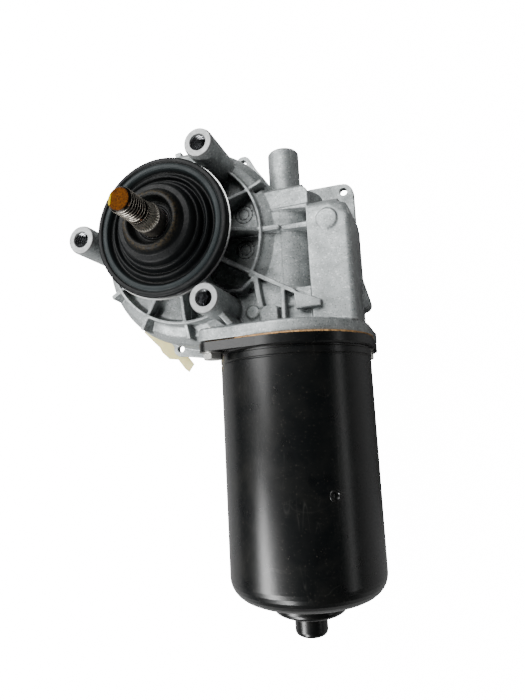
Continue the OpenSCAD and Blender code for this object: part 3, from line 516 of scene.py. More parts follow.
def rubberMaterial(name, values):
    material, tree, shader = newMaterial(name, {"Specular IOR Level": 0.1})
    grain = placeGrain(tree, values, Scale=0.8)
    away = splitPlace(tree)[1]
    share = calc(tree, "DIVIDE", away, values["span"] * mm)
    # painted sheen: the outer band is lighter, as where its slope catches the light
    sheenBand = addRamp(tree, share, (0.8, 0), (0.825, 0.9), (0.885, 0.9), (0.91, 0))
    ring = addRamp(tree, share, (0.34, 0), (0.37, 1), (0.39, 0.8), (0.43, 0))
    sheened = mixColors(tree, sheenBand, grain["Color"], values["sheenBand"])
    patches = addRamp(tree, noiseAt(tree, objectPlace(tree), 900.0, 4.0, 0.7), (0.44, 0), (0.62, 1))
    dusty = product(tree, ring, patches, values["dustShare"])
    ringed = mixColors(tree, dusty, sheened, values["dust"])
    dirtInputs = {"Color": ringed, "Dust": values["dirt"], "Film": 0.06, "Specks": 0.6, "Scale": 1.2}
    color = placeGroup(tree, "dust", dirtInputs)["Color"]
    rough = calc(tree, "ADD", grain["Roughness"], product(tree, dusty, values["dustRoughness"]), clamp=True)
    dress(tree, shader, {"Base Color": color, "Roughness": rough}, grain["Height"], 0.25, 0.12)
    return material


def tones(color, other, roughness, **more):
    return {"color": (*color, 1), "other": (*other, 1), "roughness": roughness, **more}


shaftFinish = {
    "metal": (0.24, 0.225, 0.21, 1),
    "rust": (0.2, 0.1, 0.045, 1),
    "deep": (0.03, 0.018, 0.012, 1),
    "amount": 0.5,
    "scale": 1.4,
}


# Cream film with a little light through it
filmFinish = tones(
    (0.5, 0.46, 0.22),
    (0.4, 0.36, 0.15),
    0.6,
    scale=0.5,
    share=0.4,
    bump=0.2,
    specular=0.2,
    subsurface=0.15,
)


# One finish for each material slot of the record, as its maker and its values
finishes = {
    "cast_aluminium": (castMaterial, castFinish),
    "black_paint": (paintMaterial, paintFinish),
    "black_rubber": (rubberMaterial, rubberFinish),
    "shaft_steel": (rustMaterial, shaftFinish),
    "steel": (turnedMaterial, tones((0.42, 0.42, 0.42), (0.28, 0.28, 0.29), 0.34)),
    "bronze": (turnedMaterial, tones((0.4, 0.22, 0.08), (0.25, 0.13, 0.05), 0.45)),
    "brass": (turnedMaterial, tones((0.66, 0.44, 0.14), (0.45, 0.28, 0.08), 0.3)),
    "laminate": (turnedMaterial, tones((0.3, 0.3, 0.31), (0.12, 0.12, 0.13), 0.5, alongY=1.0, scale=1.4)),
    "copper": (turnedMaterial, tones((0.64, 0.27, 0.13), (0.36, 0.13, 0.06), 0.36, alongY=1.0)),
    "worm_steel": (turnedMaterial, tones((0.5, 0.5, 0.51), (0.3, 0.3, 0.31), 0.24, alongY=1.0)),
    "core_steel": (turnedMaterial, tones((0.36, 0.37, 0.38), (0.2, 0.2, 0.22), 0.42, alongY=1.0)),
    "grey_gasket": (grainMaterial, tones((0.05, 0.052, 0.055), (0.1, 0.1, 0.1), 0.8)),
    "brown_gasket": (
        grainMaterial,
        tones((0.3, 0.17, 0.065), (0.13, 0.065, 0.024), 0.82, share=0.8, scale=2.0),
    ),
    "zinc_bolt": (
        grainMaterial,
        tones((0.42, 0.42, 0.4), (0.22, 0.215, 0.19), 0.36, metallic=0.9, scale=2.0),
    ),
    "plated_plate": (grainMaterial, tones((0.36, 0.37, 0.37), (0.22, 0.21, 0.19), 0.34, metallic=0.95)),
    "ferrite": (grainMaterial, tones((0.035, 0.036, 0.04), (0.07, 0.07, 0.075), 0.62)),
    "carbon": (grainMaterial, tones((0.02, 0.02, 0.021), (0.06, 0.045, 0.035), 0.66)),
    "pale_plastic": (grainMaterial, tones((0.62, 0.58, 0.48), (0.5, 0.45, 0.34), 0.42, coat=0.15)),
    "black_plastic": (grainMaterial, tones((0.016, 0.016, 0.017), (0.03, 0.03, 0.032), 0.42, coat=0.1)),
    "polished_steel": (
        grainMaterial,
        tones((0.62, 0.62, 0.63), (0.5, 0.5, 0.52), 0.16, metallic=1.0, bump=0.05),
    ),
    "enamelled_copper": (
        grainMaterial,
        tones((0.36, 0.1, 0.025), (0.52, 0.2, 0.06), 0.28, coat=0.6, scale=3.0),
    ),
    "tag_film": (grainMaterial, filmFinish),
}
slotMaterials = {slot: maker(slot, values) for slot, (maker, values) in finishes.items()}
for node in nodes.values():
    for index, material in enumerate(node.data.materials):
        slotName = material.name.split(".")[0]
        if slotName in slotMaterials:
            node.data.materials[index] = slotMaterials[slotName]
        else:
            print("no finish for", node.name, material.name)
print("finishes set:", len(slotMaterials))


# Mesh tools
def newPiece(name, mesh, body, slotName, replaced=(), material=None):
    piece = addObject(name, mesh)
    mesh.materials.clear()
    mesh.materials.append(material or slotMaterials[slotName])
    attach(piece, body)
    if replaced:
        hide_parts(*replaced)
    return piece


def smoothFaces(mesh):
    mesh.polygons.foreach_set("use_smooth", [True] * len(mesh.polygons))


def autoSmooth(mesh, degrees):
    # sharp edges stay crisp, the rest shades smoothly
    work = bmesh.new()
    work.from_mesh(mesh)
    bmesh.ops.remove_doubles(work, verts=work.verts, dist=1e-7)
    limit = math.radians(degrees)
    for edge in work.edges:
        if len(edge.link_faces) == 2 and edge.calc_face_angle(0.0) > limit:
            edge.smooth = False
    work.to_mesh(mesh)
    work.free()


def bakeModifiers(piece):
    graph = bpy.context.evaluated_depsgraph_get()
    mesh = bpy.data.meshes.new_from_object(piece.evaluated_get(graph), depsgraph=graph)
    bpy.data.objects.remove(piece)
    return mesh


def addSkin(piece, voxel):
    remesh = piece.modifiers.new("skin", "REMESH")
    remesh.mode = "VOXEL"
    remesh.voxel_size = voxel * mm


def ringPoint(radius, angle, z, center=(0, 0)):
    return ((center[0] + radius * math.cos(angle)) * mm, (center[1] + radius * math.sin(angle)) * mm, z * mm)


def ringPoints(radius, z, columns, center=(0, 0)):
    return [ringPoint(radius, math.tau * j / columns, z, center) for j in range(columns)]


def meshFromRows(name, rows, capped=True):
    # rows of points all round, joined into quads
    mesh = bpy.data.meshes.new(name)
    points = [point for row in rows for point in row]
    width = len(rows[0])
    faces = []
    for i in range(len(rows) - 1):
        for j in range(width):
            k = (j + 1) % width
            faces.append((i * width + j, i * width + k, (i + 1) * width + k, (i + 1) * width + j))
    if capped:
        faces.append(tuple(reversed(range(width))))
        faces.append(tuple((len(rows) - 1) * width + j for j in range(width)))
    mesh.from_pydata(points, [], faces)
    mesh.update()
    smoothFaces(mesh)
    return mesh


def ringMesh(name, rows):
    # the last row meets the first again
    return meshFromRows(name, rows + [rows[0]], capped=False)


def resample(points, step):
    # points every step along a polyline, its corners kept
    result = [points[0]]
    for a, b in zip(points, points[1:]):
        count = max(1, math.ceil(math.dist(a, b) / step))
        for i in range(1, count + 1):
            share = i / count
            result.append((a[0] + (b[0] - a[0]) * share, a[1] + (b[1] - a[1]) * share))
    return result


def softened(points):
    # cuts each corner of an open polyline and keeps its ends
    cut = [points[0]]
    for a, b in zip(points, points[1:]):
        cut.append((a[0] * 0.75 + b[0] * 0.25, a[1] * 0.75 + b[1] * 0.25))
        cut.append((a[0] * 0.25 + b[0] * 0.75, a[1] * 0.25 + b[1] * 0.75))
    cut.append(points[-1])
    return cut


# Casting: the solid with the soft edges and root radii that a die leaves
castingShape = {"voxel": 0.34, "weld": 0.002, "soften": 3, "faces": 190000}
lipShape = {
    "start": 40.6,
    "edge": 45,
    "outside": 45.6,
    "right": 13,
    "rightFade": 4,
    "top": 30,
    "topFade": 6,
    "low": -38,
    "lowFade": 6,
    "high": -29.2,
    "drop": 3.4,
}
bossShape = {
    "circle": 37.1,
    "angles": (60, 180, 300),
    "bore": 2.7,
    "opened": 4.06,
    "floor": -17.5,
    "rim": 6.9,
    "rimLevel": -1.4,
    "sunk": 0.14,
}
bossPlaces = [
    (bossShape["circle"] * math.cos(math.radians(angle)), bossShape["circle"] * math.sin(math.radians(angle)))
    for angle in bossShape["angles"]
]


def roundLip(mesh, values):
    # the outer edge of the shoulder is well rounded on the left
    for vertex in mesh.vertices:
        x, y, z = vertex.co / mm
        away = math.hypot(x, y)
        if x >= values["right"] or y >= values["top"] or not values["low"] < z < values["high"]:
            continue
        if values["start"] < away < values["outside"]:
            share = (away - values["start"]) / (values["edge"] - values["start"])
            fromRight = (values["right"] - x) / values["rightFade"]
            fromTop = (values["top"] - y) / values["topFade"]
            ease = min(1.0, fromRight, fromTop) * min(1.0, (z - values["low"]) / values["lowFade"])
            vertex.co.z -= values["drop"] * share * share * ease * mm


def openBosses(mesh, values):
    # room for the thread sleeves in the bores and for the machined rings on top
    for vertex in mesh.vertices:
        x, y, z = vertex.co / mm
        if z < values["floor"]:
            continue
        for cx, cy in bossPlaces:
            away = math.hypot(x - cx, y - cy)
            if values["bore"] < away < values["opened"]:
                grow = values["opened"] / away
                vertex.co.x = (cx + (x - cx) * grow) * mm
                vertex.co.y = (cy + (y - cy) * grow) * mm
            if away < values["rim"] and z > values["rimLevel"]:
                vertex.co.z -= values["sunk"] * mm


def softCasting(values):
    solid = addObject("castingSolid", nodes["gear_housing"].data.copy())
    work = bmesh.new()
    work.from_mesh(solid.data)
    bmesh.ops.remove_doubles(work, verts=work.verts, dist=values["weld"] * mm)
    work.to_mesh(solid.data)
    work.free()
    addSkin(solid, values["voxel"])
    soften = solid.modifiers.new("soften", "SMOOTH")
    soften.factor = 0.5
    soften.iterations = values["soften"]
    mesh = bakeModifiers(solid)
    roundLip(mesh, lipShape)
    openBosses(mesh, bossShape)
    thinned = addObject("castingThinned", mesh)
    thin = thinned.modifiers.new("thin", "DECIMATE")
    thin.ratio = min(1.0, values["faces"] / (2 * len(mesh.polygons)))
    mesh = bakeModifiers(thinned)
    smoothFaces(mesh)
    return mesh


castingMesh = softCasting(castingShape)
newPiece("casting", castingMesh, "case", "cast_aluminium", ["gear_housing"])
print("casting made:", len(castingMesh.polygons), "faces")


# Tapped bosses: thread sleeves cut to the real pitch
bossThread = {
    "pitch": 1.25,
    "crest": 3.42,
    "root": 3.98,
    "outside": 4.12,
    "top": -1.15,
    "turns": 13,
    "perTurn": 12,
    "leadIn": 9,
    "flank": 2.6,
    "flat": 0.15,
    "columns": 72,
}
threadFinish = tones((0.3, 0.31, 0.32), (0.14, 0.14, 0.15), 0.26)


def threadBore(step, turn, values):
    # radius of the groove, which runs out towards the mouth
    phase = (step / values["perTurn"] + turn) % 1.0
    depth = min(1.0, max(0.0, abs(phase - 0.5) * values["flank"] - values["flat"]))
    if step < values["leadIn"]:
        depth = max(depth, 1.0 - step / values["leadIn"])
    return values["crest"] + (values["root"] - values["crest"]) * depth


def threadSleeve(center, values):
    turns = [j / values["columns"] for j in range(values["columns"])]
    foot = values["top"] - values["pitch"] * values["turns"]
    rows = []
    for z in (foot, values["top"]):
        rows.append([ringPoint(values["outside"], -math.tau * turn, z, center) for turn in turns])
    for step in range(values["turns"] * values["perTurn"] + 1):
        z = values["top"] - values["pitch"] * step / values["perTurn"]
        bores = [threadBore(step, turn, values) for turn in turns]
        rows.append([ringPoint(bore, -math.tau * turn, z, center) for bore, turn in zip(bores, turns)])
    return ringMesh("bossThread", rows)


threadMetal = turnedMaterial("boss_thread", threadFinish)
for number, center in enumerate(bossPlaces, 1):
    sleeve = threadSleeve(center, bossThread)
    newPiece(f"bossThread{number}", sleeve, "case", "cast_aluminium", material=threadMetal)
print("boss threads made")


# Machined boss faces: flat rings with fine turning grooves, crisp at both edges
bossFace = {
    "inside": ((3.4, -1.3), (3.4, -0.3), (3.62, 0.0)),
    "outside": ((5.66, 0.0), (5.88, -0.16), (6.22, -1.1), (6.28, -2.0), (5.2, -2.0), (5.2, -1.3)),
    "firstGroove": 3.72,
    "grooveStep": 0.13,
    "grooveDepth": 0.022,
    "steps": 15,
    "columns": 96,
    "crisp": 20,
}
faceFinish = tones((0.22, 0.225, 0.225), (0.13, 0.135, 0.135), 0.48, metallic=0.6, scale=2.0)


def faceRing(center, values):
    grooves = tuple(
        (values["firstGroove"] + values["grooveStep"] * i, -values["grooveDepth"] * (i % 2))
        for i in range(values["steps"])
    )
    profile = values["inside"] + grooves + values["outside"]
    mesh = ringMesh("bossFace", [ringPoints(radius, z, values["columns"], center) for radius, z in profile])
    autoSmooth(mesh, values["crisp"])
    return mesh


faceMetal = grainMaterial("machined_face", faceFinish)
for number, center in enumerate(bossPlaces, 1):
    newPiece(f"bossFace{number}", faceRing(center, bossFace), "case", "cast_aluminium", material=faceMetal)
print("boss faces made")


# Round marks of the die on the floor of the pockets beside the seal, near-black as painted shade along their
# relief
dieMark = {
    "places": ((27.8, 9.5), (27.8, -6.5)),
    "rings": (3.95, 2.35),
    "half": 0.17,
    "low": -26.72,
    "high": -26.28,
    "tick": 0.9,
    "firstTick": 0.3,
    "columns": 64,
}
markShadeFinish = tones((0.012, 0.014, 0.014), (0.03, 0.033, 0.033), 0.6, metallic=0.2)


def dieMarkMesh(center, values):
    work = bmesh.new()
    low, high, half = values["low"], values["high"], values["half"]
    for middle in values["rings"]:
        radii = (middle - half, middle - half / 2, middle + half / 2, middle + half)
        rows = []
        for radius, z in zip(radii, (low, high, high, low)):
            rows.append([work.verts.new(point) for point in ringPoints(radius, z, values["columns"], center)])
        rows.append(rows[0])
        for first, second in zip(rows, rows[1:]):
            for j in range(values["columns"]):
                k = (j + 1) % values["columns"]
                work.faces.new((first[j], first[k], second[k], second[j]))
    for quarter in range(4):
        turn = values["firstTick"] + quarter * math.pi / 2
        place = Vector(ringPoint(values["rings"][0], turn, (low + high) / 2, center))
        size = Matrix.Diagonal((values["tick"] * mm, half * 1.6 * mm, (high - low) * mm, 1))
        matrix = Matrix.Translation(place) @ Matrix.Rotation(turn, 4, "Z") @ size
        bmesh.ops.create_cube(work, size=1.0, matrix=matrix)
    bmesh.ops.recalc_face_normals(work, faces=work.faces)
    mesh = bpy.data.meshes.new("dieMark")
    work.to_mesh(mesh)
    work.free()
    return mesh


markShadeMetal = grainMaterial("die_mark", markShadeFinish)
for number, center in enumerate(dieMark["places"], 1):
    newPiece(f"dieMark{number}", dieMarkMesh(center, dieMark), "case", "cast_aluminium", material=markShadeMetal)
print("die marks made")


# Spindle: thread with real pitch, knurled cone and turned journal
spindleShape = {
    "journal": (
        (4.4, -50), (5, -49.4), (5, -35.2), (6, -34.6), (6, 0.58), (5.5, 0.6),
        (5.5, 1.5), (6, 1.52), (6.08, 7.6), (6.12, 8), (6.12, 9.9),
    ),
    "coneStart": 10,
    "coneRadius": 6.1,
    "coneFall": 1.05,
    "coneLevels": (10.0, 10.15, 10.4, 10.7, 11.2, 12, 13, 14, 15, 15.8, 16.2, 16.45, 16.7),
    "knurlTeeth": 36,
    "knurlDepth": 0.5,
    "threadBase": 16.5,
    "threadStart": 16.75,
    "threadStep": 0.11,
    "pitch": 1.5,
    "crest": 5.0,
    "root": 4.14,
    "flank": 2.7,
    "flat": 0.2,
    "undercut": 4.35,
    "nick": 0.06,
    "tip": 28.8,
    "tipRings": (3.9, 3.6, 3.0, 2.2, 1.4, 0.7, 0.2),
    "tipPits": 0.05,
    "columns": 270,
}


def threadRadius(z, turn, values):
    phase = (z / values["pitch"] - turn) % 1.0
    wave = min(1.0, max(0.0, abs(phase - 0.5) * values["flank"] - values["flat"]))
    return values["crest"] - (values["crest"] - values["root"]) * wave


def spindleRadius(z, turn, values):
    base = values["threadBase"]
    if z > base + 0.2:
        # the thread with its chamfered tip, the undercut below it and small nicks
        limit = values["crest"] - max(0.0, z - values["tip"] + 1.0)
        if z < base + 1.4:
            limit = min(limit, values["undercut"] + max(0.0, z - base - 0.9) * 1.3)
        around = Vector((math.cos(turn * math.tau) * 3, math.sin(turn * math.tau) * 3, z * 0.8))
        return min(threadRadius(z, turn, values), limit) + values["nick"] * noise.noise(around)
    share = (z - values["coneStart"]) / (base - values["coneStart"])
    cone = values["coneRadius"] - values["coneFall"] * min(1.0, share)
    ends = min(1.0, (z - values["coneStart"]) / 0.8, (base + 0.2 - z) / 0.5)
    tooth = min(1.0, abs(((turn * values["knurlTeeth"]) % 1.0) - 0.5) * 2.6)
    return cone - values["knurlDepth"] * tooth * max(0.0, ends)


def spindleMesh(values):
    columns = values["columns"]
    turns = [j / columns for j in range(columns)]
    levels = list(values["coneLevels"])
    z = values["threadStart"]
    while z < values["tip"]:
        levels.append(z)
        z += values["threadStep"]
    levels.append(values["tip"])
    rows = [ringPoints(radius, z, columns) for radius, z in values["journal"]]
    for z in levels:
        rows.append([ringPoint(spindleRadius(z, turn, values), math.tau * turn, z) for turn in turns])
    for radius in values["tipRings"]:
        row = []
        for turn in turns:
            x = radius * math.cos(math.tau * turn)
            y = radius * math.sin(math.tau * turn)
            z = values["tip"] - 0.02 + values["tipPits"] * noise.noise(Vector((x * 1.2, y * 1.2, 3.0)))
            row.append((x * mm, y * mm, z * mm))
        rows.append(row)
    return meshFromRows("spindle", rows)


# Painted shade darkens the thread's grooves and the knurl's valleys, and painted glints light the crests and
# ridges; the tip is rusty
spindleFinish = {
    "steel": (0.5, 0.46, 0.39, 1),
    "bright": (0.5, 0.47, 0.41, 1),
    # the dark tone of the painted shade in the thread's grooves and the knurl's valleys
    "dark": (0.012, 0.011, 0.01, 1),
    "stain": (0.2, 0.1, 0.05, 1),
    "rust": (0.075, 0.022, 0.0012, 1),
    "deepRust": (0.02, 0.006, 0.0004, 1),
    "tipRoughness": 0.85,
}


def spindleMaterial(name, values, shape):
    material, tree, shader = newMaterial(name, {"Specular IOR Level": 0.04})
    split, away = splitPlace(tree)
    height = split["Z"]
    tip = spanned(tree, height, (shape["tip"] - 0.4) * mm, (shape["tip"] - 0.08) * mm)
    inThread = spanned(tree, height, (shape["threadBase"] - 0.2) * mm, (shape["threadBase"] + 0.1) * mm)
    inKnurl = spanned(tree, height, (shape["coneStart"] + 0.1) * mm, (shape["coneStart"] + 0.5) * mm)
    crest = spanned(tree, away, (shape["crest"] - 0.2) * mm, (shape["crest"] + 0.02) * mm)
    # the ridges of the knurl, counted round the axis, which take painted glints
    angle = calc(tree, "ARCTAN2", split["Y"], split["X"])
    count = product(tree, angle, shape["knurlTeeth"] / math.tau)
    fromRidge = calc(tree, "ABSOLUTE", calc(tree, "SUBTRACT", calc(tree, "FRACT", count), 0.5))
    ridge = addRamp(tree, fromRidge, (0.04, 1), (0.17, 0))
    plain = calc(tree, "MAXIMUM", ridge, calc(tree, "SUBTRACT", 1.0, inKnurl))
    # bare: the thread's crests and the knurl's ridges keep the steel tone as painted glints, and so does the
    # plain journal; the grooves and valleys take the dark tone as painted shade
    bare = calc(tree, "MAXIMUM", crest, product(tree, plain, calc(tree, "SUBTRACT", 1.0, inThread)))
    brightTone = mixColors(tree, inThread, values["bright"], values["steel"])
    metal = mixColors(tree, bare, values["dark"], brightTone)
    stainInputs = {"Metal": metal, "Rust": values["stain"], "Amount": 0.36, "Scale": 1.6}
    stained = placeGroup(tree, "rust", stainInputs)
    tipInputs = {"Metal": values["rust"], "Rust": values["rust"], "Deep Rust": values["deepRust"]}
    rusty = placeGroup(tree, "rust", {**tipInputs, "Amount": 0.7, "Scale": 2.2})
    notTip = calc(tree, "SUBTRACT", 1.0, tip, clamp=True)
    sources = {
        "Base Color": mixColors(tree, tip, stained["Color"], rusty["Color"]),
        "Metallic": product(tree, stained["Metallic"], notTip),
        "Roughness": calc(tree, "MAXIMUM", stained["Roughness"], product(tree, tip, values["tipRoughness"])),
    }
    dress(tree, shader, sources, stained["Height"], 0.5, 0.12)
    return material


spindleSteel = spindleMaterial("spindle_steel", spindleFinish, spindleShape)
spindle = spindleMesh(spindleShape)
newPiece("spindle", spindle, "output", "shaft_steel", ["output_shaft"], spindleSteel)
print("spindle made:", len(spindle.polygons), "faces")


# Yellow paint dab on the edge of the spindle's tip
paintDab = {
    "turn": 172,
    "spread": 40,
    "inner": 2.9,
    "outer": 4.6,
    "edge": 3.95,
    "thick": 0.1,
    "steps": 14,
}
dabFinish = tones((0.27, 0.185, 0.0), (0.2, 0.13, 0.0), 0.6, specular=0.0)


def dabMesh(values):
    outer, edge = values["outer"], values["edge"]
    rows = []
    for i in range(values["steps"] + 1):
        share = i / values["steps"] * 2 - 1
        angle = math.radians(values["turn"] + values["spread"] * share)
        belly = math.sqrt(max(0.0, 1 - share * share))
        inner = outer - 0.15 - (outer - values["inner"] - 0.15) * belly
        section = (
            (inner, -0.05),
            (inner + 0.1, 1.0),
            (edge, 1.0),
            (edge + 0.2, 0.8),
            (outer, 0.6),
            (outer, -0.6),
        )
        row = []
        for radius, lift in section:
            radius = max(radius, inner)
            chamfered = spindleShape["tip"] - max(0.0, radius - edge)
            row.append(ringPoint(radius, angle, chamfered + lift * values["thick"] * (0.3 + 0.7 * belly)))
        rows.append(row)
    return meshFromRows("paintDab", rows, capped=False)


dabPaint = grainMaterial("yellow_dab", dabFinish)
newPiece("paintDab", dabMesh(paintDab), "output", "shaft_steel", material=dabPaint)


# Rubber seal: soft folds, slightly uneven as moulded rubber is
sealShape = {"step": 0.28, "columns": 288, "uneven": 0.07, "freeFrom": 9.5, "freeTo": 29, "foot": -3.5}
sealProfile = [
    (11, -4), (29.4, -4), (29.5, -1.4), (28.9, -0.7), (27.4, -0.7), (27, -1.5), (26.6, -1), (24.9, -0.8),
    (24.4, -1.6), (23.6, -3), (22.6, -3), (22, -1.2), (21.3, -0.3), (20.6, -0.6), (20, -1.8), (19.2, -1.9),
    (18.7, 0.4), (18, 1.2), (17.4, 0.9), (17, 2.6), (16.2, 4.1), (14.4, 4.5), (13.4, 4.7), (12.4, 6.9),
    (11.4, 7.8), (10.1, 7.8), (9.6, 6.8), (9.2, 4.2), (7.4, 3.1), (6.8, 3.6), (6.15, 3.6), (6.15, 2.6),
    (7, 2), (8.8, 1.8), (9.1, 0), (11, 0),
]


def sealMesh(values):
    outline = resample([sealProfile[0]] + softened(sealProfile[1:]), values["step"])
    rows = []
    for radius, z in outline:
        isFree = values["freeFrom"] < radius < values["freeTo"] and z > values["foot"]
        row = []
        for j in range(values["columns"]):
            angle = math.tau * j / values["columns"]
            x, y = math.cos(angle), math.sin(angle)
            wave = noise.noise(Vector((x * 2.2, y * 2.2, radius * 0.25)))
            fine = noise.noise(Vector((x * 14, y * 14, radius * 0.9 + z)))
            lift = (wave * 1.2 + fine * 0.45) * values["uneven"] if isFree else 0.0
            row.append(ringPoint(radius, angle, z + lift))
        rows.append(row)
    return ringMesh("rubberSeal", rows)


seal = sealMesh(sealShape)
newPiece("rubberSeal", seal, "case", "black_rubber", ["rubber_seal"])
print("seal made:", len(seal.polygons), "faces")


# Can bolts: hexagon heads with chamfered corners
boltShape = {
    "circle": 38,
    "angles": (-139, 43),
    "under": -52,
    "height": 2.6,
    "corner": 4.1,
    "chamfer": 0.5,
    "bevel": 0.15,
    "shank": 2.5,
    "reach": 11,
    "columns": 72,
    "crisp": 24,
}


def boltMesh(degrees, values):
    turn = math.radians(degrees)
    centerX = canAxis[0] + values["circle"] * math.cos(turn)
    centerZ = canAxis[1] - values["circle"] * math.sin(turn)
    top = -values["height"]
    flat = values["corner"] * math.cos(math.radians(30))
    rows = [[] for _ in range(9)]
    for j in range(values["columns"]):
        angle = math.tau * j / values["columns"]
        hexagon = flat / math.cos((angle % (math.pi / 3)) - math.pi / 6)
        chamfered = top + max(0.0, hexagon - flat * 0.97) * values["chamfer"]
        # from the shank's end over the head to the middle of its top, as radius and height
        section = (
            (values["shank"], values["reach"]),
            (values["shank"], 0.0),
            (min(hexagon, flat + values["bevel"]), 0.0),
            (hexagon, -values["bevel"]),
            (hexagon, -1.2),
            (hexagon, chamfered),
            (flat * 0.96, top),
            (flat * 0.6, top + 0.05),
            (0.3, top + 0.06),
        )
        for row, (radius, along) in zip(rows, section):
            x = centerX + radius * math.cos(angle + turn)
            z = centerZ - radius * math.sin(angle + turn)
            row.append((x * mm, (values["under"] + along) * mm, z * mm))
    mesh = meshFromRows("canBolt", rows)
    autoSmooth(mesh, values["crisp"])
    return mesh


for number, boltAngle in enumerate(boltShape["angles"], 1):
    newPiece(f"canBolt{number}", boltMesh(boltAngle, boltShape), "case", "zinc_bolt", ["can_bolts"])
print("bolts made")


# Gasket: cut fibre sheet, its rim a little ragged and drawn in at the left
gasketShape = {"voxel": 0.3, "inside": 33, "ragged": 0.28, "drawnIn": 1.1, "drawnEnd": 27}


def raggedGasket(values):
    sheet = addObject("gasketSolid", nodes["can_gasket"].data.copy())
    addSkin(sheet, values["voxel"])
    mesh = bakeModifiers(sheet)
    for vertex in mesh.vertices:
        x, y, z = vertex.co / mm
        dx, dz = x - canAxis[0], z - canAxis[1]
        away = math.hypot(dx, dz)
        if away < values["inside"]:
            continue
        inward = values["drawnIn"] * min(1.0, max(0.0, (values["drawnEnd"] - x) * 1.5))
        broad = noise.noise(Vector((x * 0.7, z * 0.7, 1.0)))
        fine = noise.noise(Vector((x * 2.6, z * 2.6, y)))
        push = values["ragged"] * (broad + 0.3 * fine) - inward
        vertex.co.x += push * dx / away * mm
        vertex.co.z += push * dz / away * mm
    smoothFaces(mesh)
    return mesh


newPiece("canGasket", raggedGasket(gasketShape), "case", "brown_gasket", ["can_gasket"])
print("gasket made")


# Film tag: thin sheet that droops a little where it is free
tagShape = {
    "top": -56.05,
    "thick": 0.3,
    "freeFrom": 44.5,
    "span": 12,
    "droop": 2.2,
    "ripple": 0.25,
    "edgeLength": 1.2,
    "crisp": 50,
}
tagOutline = [
    (-40.6, -31.7), (-31.9, -40.5), (-30.5, -43.3), (-26.9, -46.8), (-21.6, -47.7), (-18.2, -52.6),
    (-16.3, -54.3), (-12.8, -50.7), (-15.2, -47.2), (-20.4, -43), (-22, -38), (-29, -31), (-24, -27),
    (-33, -20),
]


def tagMesh(values):
    work = bmesh.new()
    work.faces.new([work.verts.new((x * mm, y * mm, 0)) for x, y in tagOutline])
    bmesh.ops.triangulate(work, faces=work.faces)
    for _ in range(4):
        longEdges = [edge for edge in work.edges if edge.calc_length() > values["edgeLength"] * mm]
        bmesh.ops.subdivide_edges(work, edges=longEdges, cuts=1, use_grid_fill=True)
        bmesh.ops.triangulate(work, faces=work.faces)
    for vertex in work.verts:
        x, y = vertex.co.x / mm, vertex.co.y / mm
        free = max(0.0, math.hypot(x, y) - values["freeFrom"])
        ripple = values["ripple"] * noise.noise(Vector((x * 0.3, y * 0.3, 2.0))) * min(1.0, free)
        vertex.co.z = (values["top"] - values["droop"] * (free / values["span"]) ** 2 + ripple) * mm
    mesh = bpy.data.meshes.new("filmTag")
    work.to_mesh(mesh)
    work.free()
    sheet = addObject("tagSheet", mesh)
    solid = sheet.modifiers.new("thick", "SOLIDIFY")
    solid.thickness = values["thick"] * mm
    solid.offset = -1
    mesh = bakeModifiers(sheet)
    smoothFaces(mesh)
    autoSmooth(mesh, values["crisp"])
    return mesh


newPiece("filmTag", tagMesh(tagShape), "case", "tag_film", ["rear_tag"])
print("tag made")


# Staking dimple: a raised lip round the dent in the can
dimpleShape = {
    "along": -109.54,
    "turn": 54.8,
    "profile": (
        (1.35, -0.34), (1.62, -0.05), (1.86, 0.13), (2.1, 0.12), (2.4, 0.02), (2.5, -0.3), (1.7, -0.5),
    ),
    "columns": 48,
}


def dimpleMesh(values):
    turn = math.radians(90 - values["turn"])
    outward = Vector((math.sin(turn), 0, math.cos(turn)))
    side = Vector((math.cos(turn), 0, -math.sin(turn)))
    center = Vector((canAxis[0], values["along"], canAxis[1])) + outward * canRadius
    rows = []
    for radius, lift in values["profile"]:
        row = []
        for j in range(values["columns"]):
            angle = math.tau * j / values["columns"]
            across = radius * math.cos(angle)
            sag = math.sqrt(canRadius ** 2 - across ** 2) - canRadius
            point = center + side * across + Vector((0, radius * math.sin(angle), 0)) + outward * (lift + sag)
            row.append(tuple(point * mm))
        rows.append(row)
    return ringMesh("dimpleLip", rows)


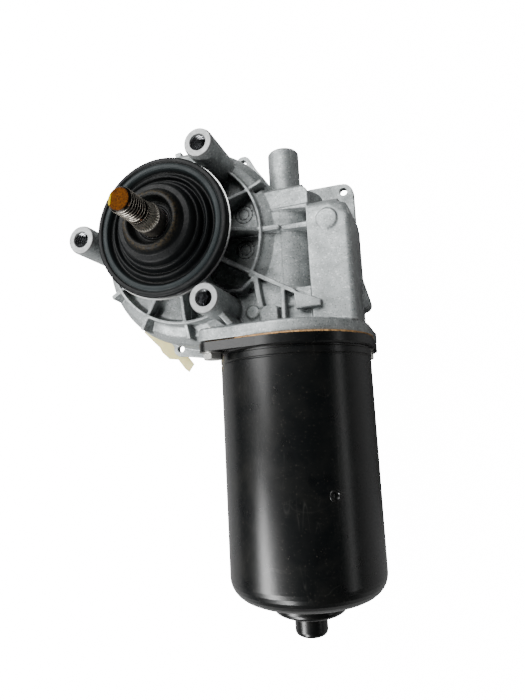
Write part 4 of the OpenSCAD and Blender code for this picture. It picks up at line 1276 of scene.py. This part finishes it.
newPiece("dimpleLip", dimpleMesh(dimpleShape), "case", "black_paint")


# Bead of dried paint at the can's end
beadShape = {"at": (41.6, -168.7, -41.2), "radius": 1.5, "stretch": (1.0, 0.55, 1.2)}


def beadMesh(values):
    work = bmesh.new()
    place = Matrix.Translation(Vector(values["at"]) * mm) @ Matrix.Diagonal((*values["stretch"], 1))
    bmesh.ops.create_uvsphere(work, u_segments=24, v_segments=16, radius=values["radius"] * mm, matrix=place)
    mesh = bpy.data.meshes.new("paintBead")
    work.to_mesh(mesh)
    work.free()
    smoothFaces(mesh)
    return mesh


newPiece("paintBead", beadMesh(beadShape), "case", "black_paint")
print("dimple and bead made")


# Floor and world: plain and pale, bright for the camera alone
worldLight = {"color": (0.9, 0.96, 1.0, 1), "strength": 0.035, "seen": 15.6}
floorLook = {"color": (0.2, 0.2, 0.2, 1), "roughness": 0.9, "seen": 15.6, "level": -0.0764, "half": 3.0}


def glowForCamera(tree, seen, otherwise):
    path = addNode(tree, "ShaderNodeLightPath")
    return calc(tree, "MULTIPLY_ADD", path.outputs["Is Camera Ray"], seen, otherwise)


def addWorld(values):
    world = bpy.data.worlds.new("paleRoom")
    world.use_nodes = True
    tree = world.node_tree
    background = tree.nodes["Background"]
    background.inputs["Color"].default_value = values["color"]
    tree.links.new(glowForCamera(tree, values["seen"], values["strength"]), background.inputs["Strength"])
    bpy.context.scene.world = world


def addFloor(values):
    half = values["half"]
    corners = [(-half, -half, 0), (half, -half, 0), (half, half, 0), (-half, half, 0)]
    mesh = bpy.data.meshes.new("floorPlane")
    mesh.from_pydata(corners, [], [(0, 1, 2, 3)])
    floor = addObject("floorPlane", mesh)
    floor.location.z = values["level"]
    sockets = {
        "Base Color": values["color"],
        "Roughness": values["roughness"],
        "Emission Color": (1, 1, 1, 1),
    }
    material, tree, shader = newMaterial("pale_floor", sockets)
    tree.links.new(glowForCamera(tree, values["seen"], 0.0), shader.inputs["Emission Strength"])
    mesh.materials.append(material)


addWorld(worldLight)
addFloor(floorLook)
